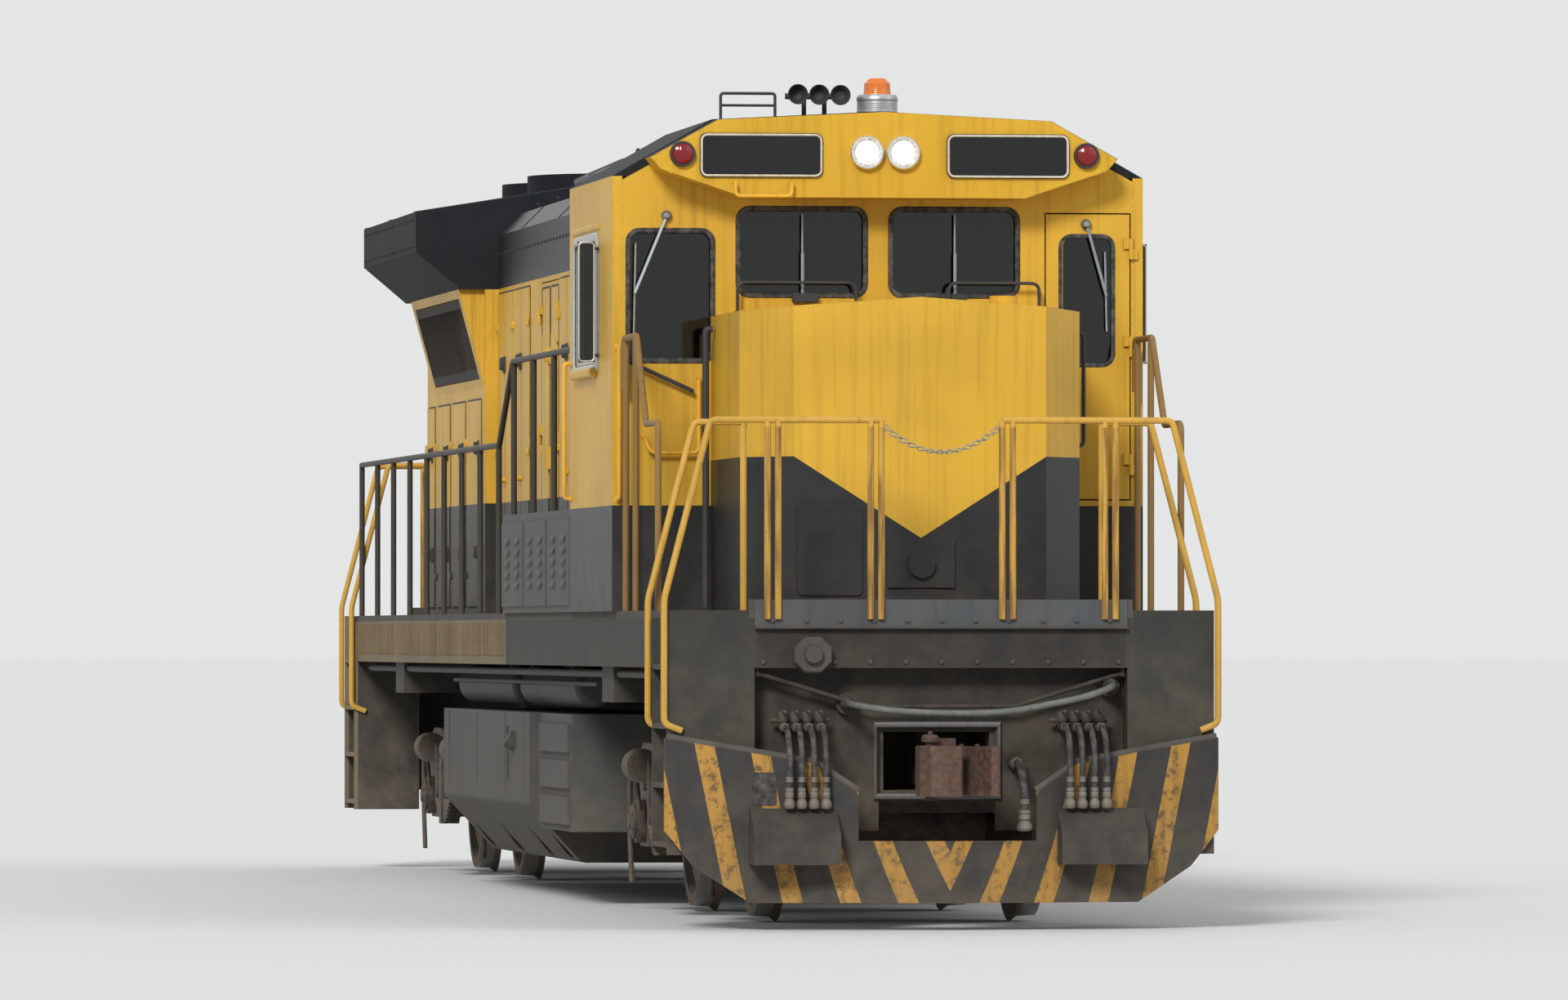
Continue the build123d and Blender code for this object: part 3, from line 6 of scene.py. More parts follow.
import bpy
import numpy as np
from bpy.props import FloatProperty, FloatVectorProperty, PointerProperty
from bpy.types import Operator, Panel, PropertyGroup
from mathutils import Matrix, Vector


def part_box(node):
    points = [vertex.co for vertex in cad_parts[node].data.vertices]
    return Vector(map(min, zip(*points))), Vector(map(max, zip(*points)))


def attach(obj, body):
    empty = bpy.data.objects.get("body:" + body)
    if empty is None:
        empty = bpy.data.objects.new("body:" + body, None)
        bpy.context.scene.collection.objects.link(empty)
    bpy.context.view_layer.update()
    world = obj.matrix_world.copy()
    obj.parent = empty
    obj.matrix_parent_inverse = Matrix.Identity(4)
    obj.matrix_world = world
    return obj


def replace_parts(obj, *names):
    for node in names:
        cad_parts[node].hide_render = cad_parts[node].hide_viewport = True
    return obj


bl_info = {
    "name": "Diesel locomotive dressing",
    "version": (1, 0, 0),
    "blender": (4, 5, 0),
    "location": "View3D > Sidebar > Locomotive",
    "description": "Adds finishes and fittings to the packed locomotive",
    "category": "Object",
}

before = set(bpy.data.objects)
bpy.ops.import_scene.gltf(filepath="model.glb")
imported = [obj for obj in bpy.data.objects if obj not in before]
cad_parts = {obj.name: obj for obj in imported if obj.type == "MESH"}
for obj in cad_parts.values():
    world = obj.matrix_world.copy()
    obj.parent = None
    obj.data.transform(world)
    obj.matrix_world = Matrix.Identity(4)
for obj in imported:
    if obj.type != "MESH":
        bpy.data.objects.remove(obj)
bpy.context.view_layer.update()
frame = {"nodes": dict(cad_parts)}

# Heights and places that the fittings share
RAIL_TOP = 0.028
DECK = 1.778
CAB_FACE = 6.900
CAB_REAR = 4.750
CAB_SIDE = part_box("cab_side_walls")[1].y
CAB_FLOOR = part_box("cab_floor")[1].z
HOUSING_FACE = 7.170
HOOD_PANEL = 0.952
HOOD_FACE = 0.940
HOOD_DOOR_X = -1.700
HOOD_DOOR_Z = (1.838, 3.928)
RADIATOR_SIDE = 1.042
RADIATOR_DOORS = ((-5.5, 0.43), (-6.5, 0.43), (-7.5, 0.43), (-8.33, 0.23))
RADIATOR_DOOR_Z = (1.838, 3.228)
REAR_FACE = -8.650
END_FACE = 9.450
END_SHEET = 9.280
STEP_REAR = 8.740
PLOUGH_POINT = 9.790
PLOUGH_SWEEP = 0.31 / 1.56
BEACON_DRUM_TOP = 4.784
RAIL_HEIGHT = 2.838
RAIL_X = 9.469
RAIL_RADIUS = 0.019
BEAM_BOTTOM = 1.672
DECK_LIP_TOP = 1.838
YELLOW_TOP = RAIL_TOP + 3.94
YELLOW_BOTTOM = RAIL_TOP + 2.50
CAB_BAND = RAIL_TOP + 2.36
CHEVRON_EDGE = RAIL_TOP + 2.62
CHEVRON_TIP = RAIL_TOP + 2.16
CHEVRON_HALF = 0.72
FIXED_DOORS = (-4.33, -3.35, -0.65, 0.34)
SIDES = ((-1, "right"), (1, "left"))
ENDS = ((1, "front"), (-1, "rear"))
TRUCKS = ((6.1, "front_truck"), (-6.1, "rear_truck"))
HALF_WHEELBASE = 1.3715
AXLE_HEIGHT = 0.536
TREAD_HEIGHT = 0.488
TREAD_PITCH = 0.33
ROOF_TOP = 4.6683
UP = (0, 0, 1)


def linear(code):
    """An sRGB hex colour as linear red, green, blue and alpha."""
    channels = np.array([int(code[i : i + 2], 16) for i in (0, 2, 4)]) / 255
    curved = np.where(channels <= 0.04045, channels / 12.92, ((channels + 0.055) / 1.055) ** 2.4)
    return (*[float(c) for c in curved], 1.0)


# Shapes: each is its points, its faces' corners in one row, and each face's number of corners
def skin(rings, closed=False):
    """Rings of points joined in order by quads, and capped, or joined last to first."""
    count, sides = rings.shape[:2]
    spans = count if closed else count - 1
    row, column = np.meshgrid(np.arange(spans), np.arange(sides), indexing="ij")
    here = row * sides
    above = (row + 1) % count * sides
    beside = (column + 1) % sides
    quads = np.stack([here + column, here + beside, above + beside, above + column], -1)
    corners = quads.reshape(-1)
    sizes = np.full(len(corners) // 4, 4)
    if not closed:
        first = np.arange(sides)[::-1]
        last = np.arange(sides) + (count - 1) * sides
        corners = np.concatenate([corners, first, last])
        sizes = np.concatenate([sizes, [sides, sides]])
    return rings.reshape(-1, 3), corners, sizes


def joined(shapes):
    """Several shapes as one."""
    starts = np.cumsum([0] + [len(points) for points, _, _ in shapes[:-1]])
    return (
        np.concatenate([points for points, _, _ in shapes]),
        np.concatenate([corners + start for (_, corners, _), start in zip(shapes, starts)]),
        np.concatenate([sizes for _, _, sizes in shapes]),
    )


def placed(shape, centres, normal=(0, 0, 1), up=(0, 1, 0)):
    """Copies of a shape, its z axis along the normal and its y axis near up, one at each centre."""
    points, corners, sizes = shape
    z = np.array(normal, float) / np.linalg.norm(normal)
    x = np.cross(up, z)
    x = x / np.linalg.norm(x)
    turned = points @ np.stack([x, np.cross(z, x), z])
    centres = np.atleast_2d(np.array(centres, float))
    copies = np.arange(len(centres))
    return (
        (turned[None] + centres[:, None]).reshape(-1, 3),
        (corners[None] + copies[:, None] * len(points)).reshape(-1),
        np.tile(sizes, len(centres)),
    )


def ring(width, height, corner, steps=3):
    """Rounded rectangle round the origin: four quarter circles of the corner's radius."""
    turn = np.linspace(0, np.pi / 2, steps + 1)
    angles = np.concatenate([turn + quarter * np.pi / 2 for quarter in range(4)])
    signs = np.repeat([(1, 1), (-1, 1), (-1, -1), (1, -1)], steps + 1, axis=0)
    middle = signs * (width / 2 - corner, height / 2 - corner)
    return middle + corner * np.stack([np.cos(angles), np.sin(angles)], 1)


def pad(width, height, depth, corner=0.006, edge=0.003, steps=2):
    """A plate on the x-y plane: its rounded outline rises by the depth, and shrinks by the edge there."""
    rings = []
    for level, inset in ((0, 0), (depth - edge, 0), (depth, edge)):
        flat = ring(width - 2 * inset, height - 2 * inset, max(corner - inset, 0.0005), steps)
        rings.append(np.column_stack([flat, np.full(len(flat), level)]))
    return skin(np.array(rings))


def lathe(profile, sides=20):
    """A turned shape round the z axis from (radius, height) pairs, bottom to top."""
    radius, height = np.array(profile, float).T
    angle = np.linspace(0, 2 * np.pi, sides, endpoint=False)
    flat = np.stack([np.cos(angle), np.sin(angle)], 1)
    across = np.maximum(radius, 0.0004)[:, None, None] * flat[None]
    up = np.broadcast_to(height[:, None, None], (len(height), sides, 1))
    return skin(np.concatenate([across, up], 2))


def tube(points, radii, sides=10, closed=False):
    """An oval carried along a flat path: its first radius stands across the path's plane."""
    points = np.array(points, float)
    if closed:
        along = np.roll(points, -1, 0) - np.roll(points, 1, 0)
    else:
        along = np.gradient(points, axis=0)
    along = along / np.linalg.norm(along, axis=1, keepdims=True)
    across = np.linalg.svd(along)[2][-1]
    beside = np.cross(along, across)
    first, second = radii if isinstance(radii, tuple) else (radii, radii)
    angle = np.linspace(0, 2 * np.pi, sides, endpoint=False)[None, :, None]
    rings = points[:, None] + first * np.cos(angle) * across + second * np.sin(angle) * beside[:, None]
    return skin(rings, closed)


def bent(points, bend=0.05, steps=5):
    """A path whose corners are eased by the curve (1-t)^2 a + 2t(1-t) c + t^2 b round each corner c."""
    points = np.array(points, float)
    before, corner, after = points[:-2], points[1:-1], points[2:]
    back = before - corner
    ahead = after - corner
    reach = np.minimum(np.linalg.norm(back, axis=1), np.linalg.norm(ahead, axis=1)) * 0.49
    reach = np.minimum(reach, bend)[:, None]
    start = corner + back / np.linalg.norm(back, axis=1, keepdims=True) * reach
    end = corner + ahead / np.linalg.norm(ahead, axis=1, keepdims=True) * reach
    t = np.linspace(0, 1, steps)[None, :, None]
    eased = (1 - t) ** 2 * start[:, None] + 2 * t * (1 - t) * corner[:, None] + t**2 * end[:, None]
    return np.concatenate([points[:1], eased.reshape(-1, 3), points[-1:]])


def upright(outline, axis, level):
    """A flat outline stood up at one x, as (y, z), or at one y, as (x, z)."""
    places = [outline[:, 0], outline[:, 1]]
    places.insert(0 if axis == "x" else 1, np.full(len(outline), level))
    return np.stack(places, 1)


def piece(name, shape, look, body="carbody", smooth=35):
    """A new object of the locomotive from one shape or a list, with its finish, riding on its body."""
    points, corners, sizes = joined(shape) if isinstance(shape, list) else shape
    mesh = bpy.data.meshes.new(name)
    mesh.vertices.add(len(points))
    mesh.vertices.foreach_set("co", np.ascontiguousarray(points, np.float32).reshape(-1))
    mesh.loops.add(len(corners))
    mesh.loops.foreach_set("vertex_index", corners.astype(np.int32))
    mesh.polygons.add(len(sizes))
    starts = np.concatenate([[0], np.cumsum(sizes)[:-1]]).astype(np.int32)
    mesh.polygons.foreach_set("loop_start", starts)
    mesh.update(calc_edges=True)
    mesh.validate()
    mesh.shade_smooth()
    mesh.set_sharp_from_angle(angle=np.radians(smooth))
    mesh.materials.append(finish(look))
    made = bpy.data.objects.new(name, mesh)
    bpy.context.scene.collection.objects.link(made)
    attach(made, body)
    return made


def dress(look, *nodes):
    """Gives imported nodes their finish."""
    for name in nodes:
        mesh = frame["nodes"][name].data
        mesh.materials.clear()
        mesh.materials.append(finish(look))


# Settings
def colour_setting(label, meaning, code):
    """A colour in the sidebar, its default given in sRGB hex."""
    return FloatVectorProperty(
        name=label, description=meaning, subtype="COLOR", size=4, min=0, max=1, default=linear(code)
    )


class LocomotiveColours(PropertyGroup):
    """Colours of the locomotive's paint, dirt and lamps."""

    yellow: colour_setting("Body yellow", "Enamel on the cab, the nose and the hood", "D0A232")
    lower: colour_setting("Lower grey", "Enamel below the yellow band", "222527")
    roof: colour_setting("Roof grey", "Enamel on roofs, wings and fans", "191D22")
    frame: colour_setting("Frame grey", "Paint on the underframe, pilots and tank", "292C2B")
    rail: colour_setting("Handrail yellow", "Enamel on the end handrails", "C99C42")
    stripe: colour_setting("Stripe yellow", "Stripes on the plough", "B48436")
    dust: colour_setting("Dust", "Dry dust that settles low down", "7E715E")
    grime: colour_setting("Grime", "Rain streaks and soot", "2A2622")
    rust: colour_setting("Rust", "Where the paint has gone", "6A4530")
    beacon: colour_setting("Beacon amber", "Beacon lens", "D8742A")


class LocomotiveSizes(PropertyGroup):
    """Sizes of the fittings that repeat."""

    rivet: FloatProperty(name="Bolt head", description="Radius of a bolt head", default=0.011, unit="LENGTH")
    grab: FloatProperty(name="Grab iron", description="Radius of its bar", default=0.012, unit="LENGTH")
    lens: FloatProperty(name="Lens", description="Camera's focal length", default=280, min=20, unit="CAMERA")


# Finishes
def add(tree, kind, sockets=None, **settings):
    """Adds a node: sockets gives its inputs values or links, and settings its own options."""
    made = tree.nodes.new("ShaderNode" + kind)
    for key, value in settings.items():
        setattr(made, key, value)
    for key, value in (sockets or {}).items():
        if isinstance(value, bpy.types.NodeSocket):
            tree.links.new(value, made.inputs[key])
        else:
            made.inputs[key].default_value = value
    return made


class Pattern:
    """A new material with its shader, and the steps that its patterns are made of, in metres."""

    def __init__(self, name, **sockets):
        self.material = bpy.data.materials.new(name)
        self.material.use_nodes = True
        self.tree = self.material.node_tree
        self.tree.nodes.clear()
        sockets = {key.replace("_", " "): value for key, value in sockets.items()}
        self.shader = add(self.tree, "BsdfPrincipled", sockets)
        add(self.tree, "OutputMaterial", {"Surface": self.shader.outputs[0]})
        self.place = add(self.tree, "TexCoord").outputs["Object"]
        self.facing = add(self.tree, "NewGeometry").outputs["Normal"]
        self.colours = bpy.context.scene.locomotive_colours

    def maths(self, operation, *values):
        """The result of a Math node."""
        return add(self.tree, "Math", dict(enumerate(values)), operation=operation).outputs[0]

    def above(self, value, level):
        """One where the value is over the level, and zero elsewhere."""
        return self.maths("GREATER_THAN", value, level)

    def below(self, value, level):
        """One where the value is under the level, and zero elsewhere."""
        return self.maths("LESS_THAN", value, level)

    def both(self, first, second):
        """Two masks multiplied."""
        return self.maths("MULTIPLY", first, second)

    def band(self, value, low, high):
        """One between two levels of a value, and zero outside them."""
        return self.both(self.above(value, low), self.below(value, high))

    def axis(self, name, vector=None):
        """One coordinate of a vector, or else of the place on the locomotive."""
        sockets = {"Vector": self.place if vector is None else vector}
        return add(self.tree, "SeparateXYZ", sockets).outputs[name]

    def away(self, name, vector=None):
        """How far along an axis a vector reaches, either way."""
        return self.maths("ABSOLUTE", self.axis(name, vector))

    def mixed(self, factor, first, second):
        """Two colours, mixed by a factor."""
        sockets = {0: factor, 6: first, 7: second}
        return add(self.tree, "Mix", sockets, data_type="RGBA").outputs[2]

    def ranged(self, value, low, high, start, end):
        """A value between low and high, carried over to start and end."""
        sockets = {"Value": value, "From Min": low, "From Max": high, "To Min": start, "To Max": end}
        return add(self.tree, "MapRange", sockets).outputs[0]

    def shaded(self, colour, value):
        """A colour made lighter or darker."""
        return add(self.tree, "HueSaturation", {"Color": colour, "Value": value}).outputs[0]

    def noise(self, size, detail, rough=0.5, vector=None):
        """Noise in blotches of about this size."""
        place = self.place if vector is None else vector
        sockets = {"Vector": place, "Scale": 1 / size, "Detail": detail, "Roughness": rough}
        return add(self.tree, "TexNoise", sockets).outputs[0]

    def marks(self, across, along):
        """Noise drawn out along Z into marks of about this width and length."""
        sockets = {"Vector": self.place, "Scale": (1 / across, 1 / across, 1 / along)}
        return self.noise(1, 5, vector=add(self.tree, "Mapping", sockets).outputs[0])

    def waves(self, pitch, direction):
        """Even ribs along an axis."""
        sockets = {"Vector": self.place, "Scale": 1 / pitch}
        return add(self.tree, "TexWave", sockets, bands_direction=direction).outputs[1]

    def bump(self, height, depth, strength, **more):
        """A surface raised by a height."""
        sockets = {"Height": height, "Distance": depth, "Strength": strength, **more}
        return add(self.tree, "Bump", sockets).outputs[0]

    def done(self, **results):
        """The material, once these results lead into its shader."""
        for key, value in results.items():
            self.tree.links.new(value, self.shader.inputs[key.replace("_", " ")])
        return self.material


# old paint is chalky, and shines less than new
PAINT = {"Specular_IOR_Level": 0.22}


def weathered(made, fresh, dust=0.5, dust_top=2.6, streak=0.4, chips=0.5, rough=0.42, wave=0.004):
    """Outdoor paint: faded patches, rain streaks, settled dust, and chips along worn edges."""
    # fading in patches about 0.9 m wide
    faded = made.shaded(fresh, made.ranged(made.noise(0.9, 4), 0.3, 0.7, 0.86, 1.1))
    # rain streaks 40 mm wide and 1.2 m long
    runs = made.ranged(made.marks(0.04, 1.2), 0.5, 0.78, 0, streak)
    streaked = made.mixed(runs, faded, made.colours.grime)
    # dust, thicker towards the ground, in clouds about 0.2 m wide
    settled = made.ranged(made.axis("Z"), dust_top, 0.2, 0.1 * dust, dust)
    clouds = made.ranged(made.noise(0.2, 6, 0.62), 0.35, 0.7, 0.35, 1.25)
    dust_mask = made.both(settled, clouds)
    dusty = made.mixed(dust_mask, streaked, made.colours.dust)
    # chips about 20 mm wide, mostly where an edge is rounded
    rounded = add(made.tree, "Bevel", {"Radius": 0.012}, samples=4).outputs[0]
    sockets = {0: rounded, 1: made.facing}
    match = add(made.tree, "VectorMath", sockets, operation="DOT_PRODUCT").outputs["Value"]
    specks = made.noise(0.02, 5, 0.7)
    worn = made.maths("ADD", specks, made.ranged(match, 0.995, 0.85, 0, 0.2))
    bare = made.mixed(made.ranged(worn, 0.66, 0.71, 0, chips), dusty, made.colours.rust)
    # sheet metal that waves over half a metre, under a dusty grain
    waved = made.bump(made.noise(0.5, 1), wave, 1.0)
    grained = made.bump(specks, 0.0008, 0.6, Normal=waved)
    dulled = made.ranged(dust_mask, 0, 0.6, rough, 0.9)
    return made.done(Base_Color=bare, Roughness=dulled, Normal=grained)


def hood_enamel():
    """Synthetic enamel over steel sheet: a yellow band between dark roof and dark sill, rain-streaked."""
    made = Pattern("hood_enamel_yellow_band", **PAINT)
    height = made.axis("Z")
    dark = made.mixed(made.above(height, YELLOW_TOP), made.colours.lower, made.colours.roof)
    fresh = made.mixed(made.band(height, YELLOW_BOTTOM, YELLOW_TOP), dark, made.colours.yellow)
    return weathered(made, fresh, dust=0.45, streak=0.5, chips=0.45)


def cab_enamel():
    """The same enamel on the cab: yellow above the floor line, with pale green paint inside."""
    made = Pattern("cab_enamel_two_tone", **PAINT)
    yellow = made.above(made.axis("Z"), CAB_BAND)
    outside = made.mixed(yellow, made.colours.lower, made.colours.yellow)
    within = made.below(made.away("Y"), CAB_SIDE - 0.058)
    inside = made.both(within, made.band(made.axis("X"), CAB_REAR + 0.03, CAB_FACE - 0.03))
    fresh = made.mixed(inside, outside, linear("8C9A86"))
    return weathered(made, fresh, dust=0.35, streak=0.3, chips=0.4)


def nose_enamel():
    """Enamel on the nose: the yellow comes down to a point on the centre crease, dark grey below it."""
    made = Pattern("nose_enamel_chevron", **PAINT)
    border = made.ranged(made.away("Y"), 0, CHEVRON_HALF, CHEVRON_TIP, CHEVRON_EDGE)
    yellow = made.above(made.axis("Z"), border)
    fresh = made.mixed(yellow, made.colours.lower, made.colours.yellow)
    return weathered(made, fresh, dust=0.3, streak=0.22, chips=0.35)


def roof_enamel():
    """Matt enamel on roofs and wings, sooty; the lamp housing over the windscreen is yellow."""
    made = Pattern("roof_enamel_matt", Specular_IOR_Level=0.12)
    housing = made.above(made.axis("X"), CAB_FACE + 0.001)
    standing = made.below(made.axis("Z", made.facing), 0.6)
    fresh = made.mixed(made.both(housing, standing), made.colours.roof, made.colours.yellow)
    return weathered(made, fresh, dust=0.12, dust_top=5.0, streak=0.25, chips=0.4, rough=0.7)


def sill_paint():
    """Frame paint under road dust: the side sills are tan with it, the rest stays dark grey, and painted
    shade darkens the pilot between the step wells.
    """
    made = Pattern("frame_paint_dust_and_painted_shade", **PAINT)
    breadth = made.away("Y")
    sill = made.both(made.above(breadth, 1.512), made.below(made.axis("X"), CAB_REAR - 3.8))
    tan = made.mixed(sill, made.colours.frame, linear("75684F"))
    # painted shade: the pilot between the step wells is painted near-black at every height, for the shade
    # under the end beam
    painted_shade = made.both(made.below(breadth, 1.04), made.above(made.away("X"), END_SHEET - 0.02))
    fresh = made.mixed(painted_shade, tan, linear("232323"))
    return weathered(made, fresh, dust=0.5, dust_top=1.9, streak=0.45, chips=0.6, rough=0.65)


def plough_paint():
    """Grey paint with slanted yellow stripes that meet in a V and steepen outwards, scraped and rusty."""
    made = Pattern("plough_paint_striped", **PAINT)
    pitch, share, tip = 0.30, 0.18, RAIL_TOP + 0.30
    breadth = made.away("Y")
    slant = made.ranged(breadth, 0, 1, -0.5, -0.2)
    across = made.maths("MULTIPLY_ADD", made.maths("SUBTRACT", made.axis("Z"), tip), slant, breadth)
    stripe = made.below(made.maths("PINGPONG", across, pitch / 2), pitch * share)
    # the footboards, which stand ahead of the plough's swept face, have no stripes
    ahead = made.maths("MULTIPLY_ADD", breadth, PLOUGH_SWEEP, made.axis("X"))
    on_face = made.below(ahead, PLOUGH_POINT + 0.004)
    # the stripes are rubbed thin in patches 60 mm wide
    kept = made.ranged(made.noise(0.06, 6, 0.7), 0.38, 0.5, 0.25, 0.95)
    shown = made.both(made.both(stripe, on_face), kept)
    fresh = made.mixed(shown, linear("2C2D2E"), made.colours.stripe)
    return weathered(made, fresh, dust=0.32, dust_top=1.2, streak=0.4, chips=0.8, rough=0.6)


def rail_enamel():
    """Handrail enamel: yellow, rubbed brown on the posts where hands and boots wear it."""
    made = Pattern("handrail_enamel_yellow", **PAINT)
    post = made.both(made.below(made.away("Y"), 1.0), made.below(made.axis("Z"), DECK + 1.02))
    rubbed = made.ranged(made.marks(0.03, 0.4), 0.42, 0.62, 0.15, 0.8)
    fresh = made.mixed(made.both(post, rubbed), made.colours.rail, linear("6B4A2C"))
    return weathered(made, fresh, dust=0.2, streak=0.25, chips=0.6, rough=0.5, wave=0)


def side_rail_enamel():
    """Side handrail enamel: yellow ahead of the cab, darkened to brown as painted shade, and dark grey behind
    it.
    """
    made = Pattern("handrail_enamel_side", **PAINT)
    # painted shade: ahead of the cab the yellow rail is given the brown 86683A of yellow in shade
    fresh = made.mixed(made.above(made.axis("X"), CAB_FACE), linear("3A3630"), linear("86683A"))
    return weathered(made, fresh, dust=0.3, streak=0.3, chips=0.7, rough=0.55, wave=0)


def plain_paint(name, code, **look):
    """One colour of weathered paint."""
    return weathered(Pattern(name, **PAINT), linear(code), **look)


def cast_steel(name, code, dust, rust):
    """Sand-cast steel: rough, brown with brake dust, darkened in its hollows by ambient occlusion as painted
    shade.
    """
    made = Pattern(name, Metallic=0.1)
    # blotches of brake dust 120 mm wide over a grain of sand
    blotches, grain = made.noise(0.12, 6, 0.65), made.noise(0.03, 4)
    rusty = made.mixed(made.ranged(grain, 0.4, 0.7, 0, rust), linear(code), made.colours.rust)
    dusty = made.mixed(made.ranged(blotches, 0.35, 0.7, 0, dust), rusty, made.colours.dust)
    # painted shade: the colour is darkened down to three tenths where ambient occlusion finds hollows
    hidden = add(made.tree, "AmbientOcclusion", {"Distance": 0.2}, samples=6).outputs["AO"]
    painted_shade = made.shaded(dusty, made.ranged(hidden, 0.2, 0.9, 0.3, 1))
    rough = made.ranged(blotches, 0.3, 0.7, 0.5, 0.9)
    return made.done(Base_Color=painted_shade, Roughness=rough, Normal=made.bump(grain, 0.002, 0.7))


def wheel_steel():
    """Rolled wheel steel: a bright rubbed tread and flange, rusty brown plate and axle."""
    made = Pattern("wheel_steel_rolled", Metallic=0.6)
    rolling = made.below(made.away("Y", made.facing), 0.5)
    bright = made.both(rolling, made.band(made.away("Y"), 0.674, 0.818))
    # scale and brake dust in flecks 25 mm wide
    flecks = made.noise(0.025, 6, 0.7)
    plate = made.mixed(flecks, linear("3A2F28"), linear("7A6450"))
    colour = made.mixed(bright, plate, linear("9A9791"))
    rough = made.ranged(bright, 0, 1, 0.75, 0.28)
    return made.done(Base_Color=colour, Roughness=rough, Normal=made.bump(flecks, 0.0015, 0.5))


def bare_metal(name, code, rough, brushed=0.02):
    """Unpainted metal, dulled outdoors, with fine marks along it."""
    made = Pattern(name, Metallic=0.85)
    marks = made.marks(brushed, brushed / 4)
    colour = made.shaded(linear(code), made.ranged(marks, 0.3, 0.7, 0.75, 1.1))
    dulled = made.ranged(marks, 0.3, 0.7, rough, rough + 0.25)
    return made.done(Base_Color=colour, Roughness=dulled, Normal=made.bump(marks, 0.0004, 0.5))


def rubber(name, code, rough=0.7):
    """Moulded rubber: matt, greyed by dust, its surface faintly cloth-wrapped."""
    made = Pattern(name)
    mask = made.ranged(made.noise(0.05, 6, 0.65), 0.4, 0.75, 0, 0.45)
    colour = made.mixed(mask, linear(code), linear("8F867A"))
    dulled = made.ranged(mask, 0, 1, rough, 1)
    weave = made.bump(made.noise(0.006, 3), 0.0006, 0.6)
    return made.done(Base_Color=colour, Roughness=dulled, Normal=weave)


def window_glass():
    """Laminated window glass: green-grey right through, under a thin film of dust."""
    made = Pattern("window_glass_laminated", IOR=1.52, Specular_IOR_Level=0.3)
    film = made.noise(0.15, 6, 0.6)
    tint = made.mixed(film, linear("48524D"), linear("3E4542"))
    clear = made.ranged(film, 0.35, 0.8, 0.99, 0.93)
    rough = made.ranged(film, 0.4, 0.8, 0.02, 0.12)
    return made.done(Base_Color=tint, Transmission_Weight=clear, Roughness=rough)


def lens(name, code, glow=0.0, clear=0.0):
    """A moulded lamp lens: glossy, with the fine vertical flutes that spread the light, and painted highlight
    and shade in stripes along them.
    """
    light = {"Emission_Strength": glow, "Emission_Color": linear(code)} if glow else {}
    made = Pattern(name, IOR=1.49, Roughness=0.12, Transmission_Weight=clear, **light)
    flutes = made.waves(0.05, "Y")
    # painted highlight and shade: the colour is lightened and darkened in stripes along the flutes
    colour = made.shaded(linear(code), made.ranged(flutes, 0, 1, 0.8, 1.15))
    return made.done(Base_Color=colour, Normal=made.bump(flutes, 0.001, 0.5))


def beacon_drum():
    """The beacon: a zinc-plated drum that carries a ribbed amber dome."""
    made = Pattern("beacon_drum_and_dome", IOR=1.49)
    domed = made.above(made.axis("Z"), BEACON_DRUM_TOP)
    zinc = made.mixed(made.noise(0.03, 5), linear("8E908E"), linear("C4C6C2"))
    return made.done(
        Base_Color=made.mixed(domed, zinc, made.colours.beacon),
        Metallic=made.ranged(domed, 0, 1, 0.85, 0),
        Roughness=made.ranged(domed, 0, 1, 0.4, 0.1),
        Normal=made.bump(made.waves(0.04, "Z"), 0.001, 0.4),
    )


def seat_vinyl():
    """Embossed seat vinyl: black, softly creased, worn paler in patches."""
    made = Pattern("seat_vinyl_black", Sheen_Weight=0.1)
    cells = add(made.tree, "TexVoronoi", {"Vector": made.place, "Scale": 1 / 0.004}).outputs[0]
    wear = made.noise(0.08, 4)
    colour = made.mixed(wear, linear("1B1B1C"), linear("3A3836"))
    rough = made.ranged(wear, 0, 1, 0.4, 0.65)
    return made.done(Base_Color=colour, Roughness=rough, Normal=made.bump(cells, 0.0005, 0.5))


FINISHES = {
    "hood": hood_enamel,
    "cab": cab_enamel,
    "nose": nose_enamel,
    "roof": roof_enamel,
    "sill": sill_paint,
    "plough": plough_paint,
    "rail": rail_enamel,
    "side_rail": side_rail_enamel,
    "wheel": wheel_steel,
    "glass": window_glass,
    "vinyl": seat_vinyl,
    "beacon": beacon_drum,
}
# painted finishes: each one's material name, its colour, and how it has weathered
PAINTED = {
    "yellow": ("fitting_enamel_yellow", "E2AC38", {"dust": 0.2, "wave": 0}),
    "dark": ("fitting_enamel_dark", "34373A", {"dust": 0.5, "streak": 0.3, "rough": 0.55, "wave": 0}),
    "lower": ("locker_enamel_grey", "373C3E", {"dust": 0.45, "streak": 0.4, "rough": 0.5}),
    "deck": ("deck_paint_gritty", "3C3F40", {"dust": 0.7, "chips": 0.7, "rough": 0.8}),
    "tank": ("tank_paint_grey", "3D4244", {"dust_top": 1.6, "streak": 0.5, "rough": 0.6}),
    "grille": ("grille_paint_black", "1E2022", {"dust": 0.35, "dust_top": 5, "rough": 0.7}),
    "desk": ("desk_enamel_green", "6C7868", {"dust": 0.1, "streak": 0.05, "rough": 0.45}),
    "engine": ("engine_enamel_oily", "6A6E62", {"dust": 0.2, "streak": 0.6, "rough": 0.35}),
    "stack": ("stack_steel_burnt", "2B2725", {"dust": 0.2, "dust_top": 6, "chips": 0.9, "rough": 0.8}),
    "striker": ("striker_paint_grey", "6A6E70", {"dust": 0.4, "chips": 0.8, "rough": 0.6}),
    "beam": ("end_beam_paint_grey", "454A4D", {"dust": 0.35, "chips": 0.8, "rough": 0.55}),
    "rim": ("board_rim_cream", "CFC7B4", {"dust": 0.1, "streak": 0.2, "rough": 0.5, "wave": 0}),
}
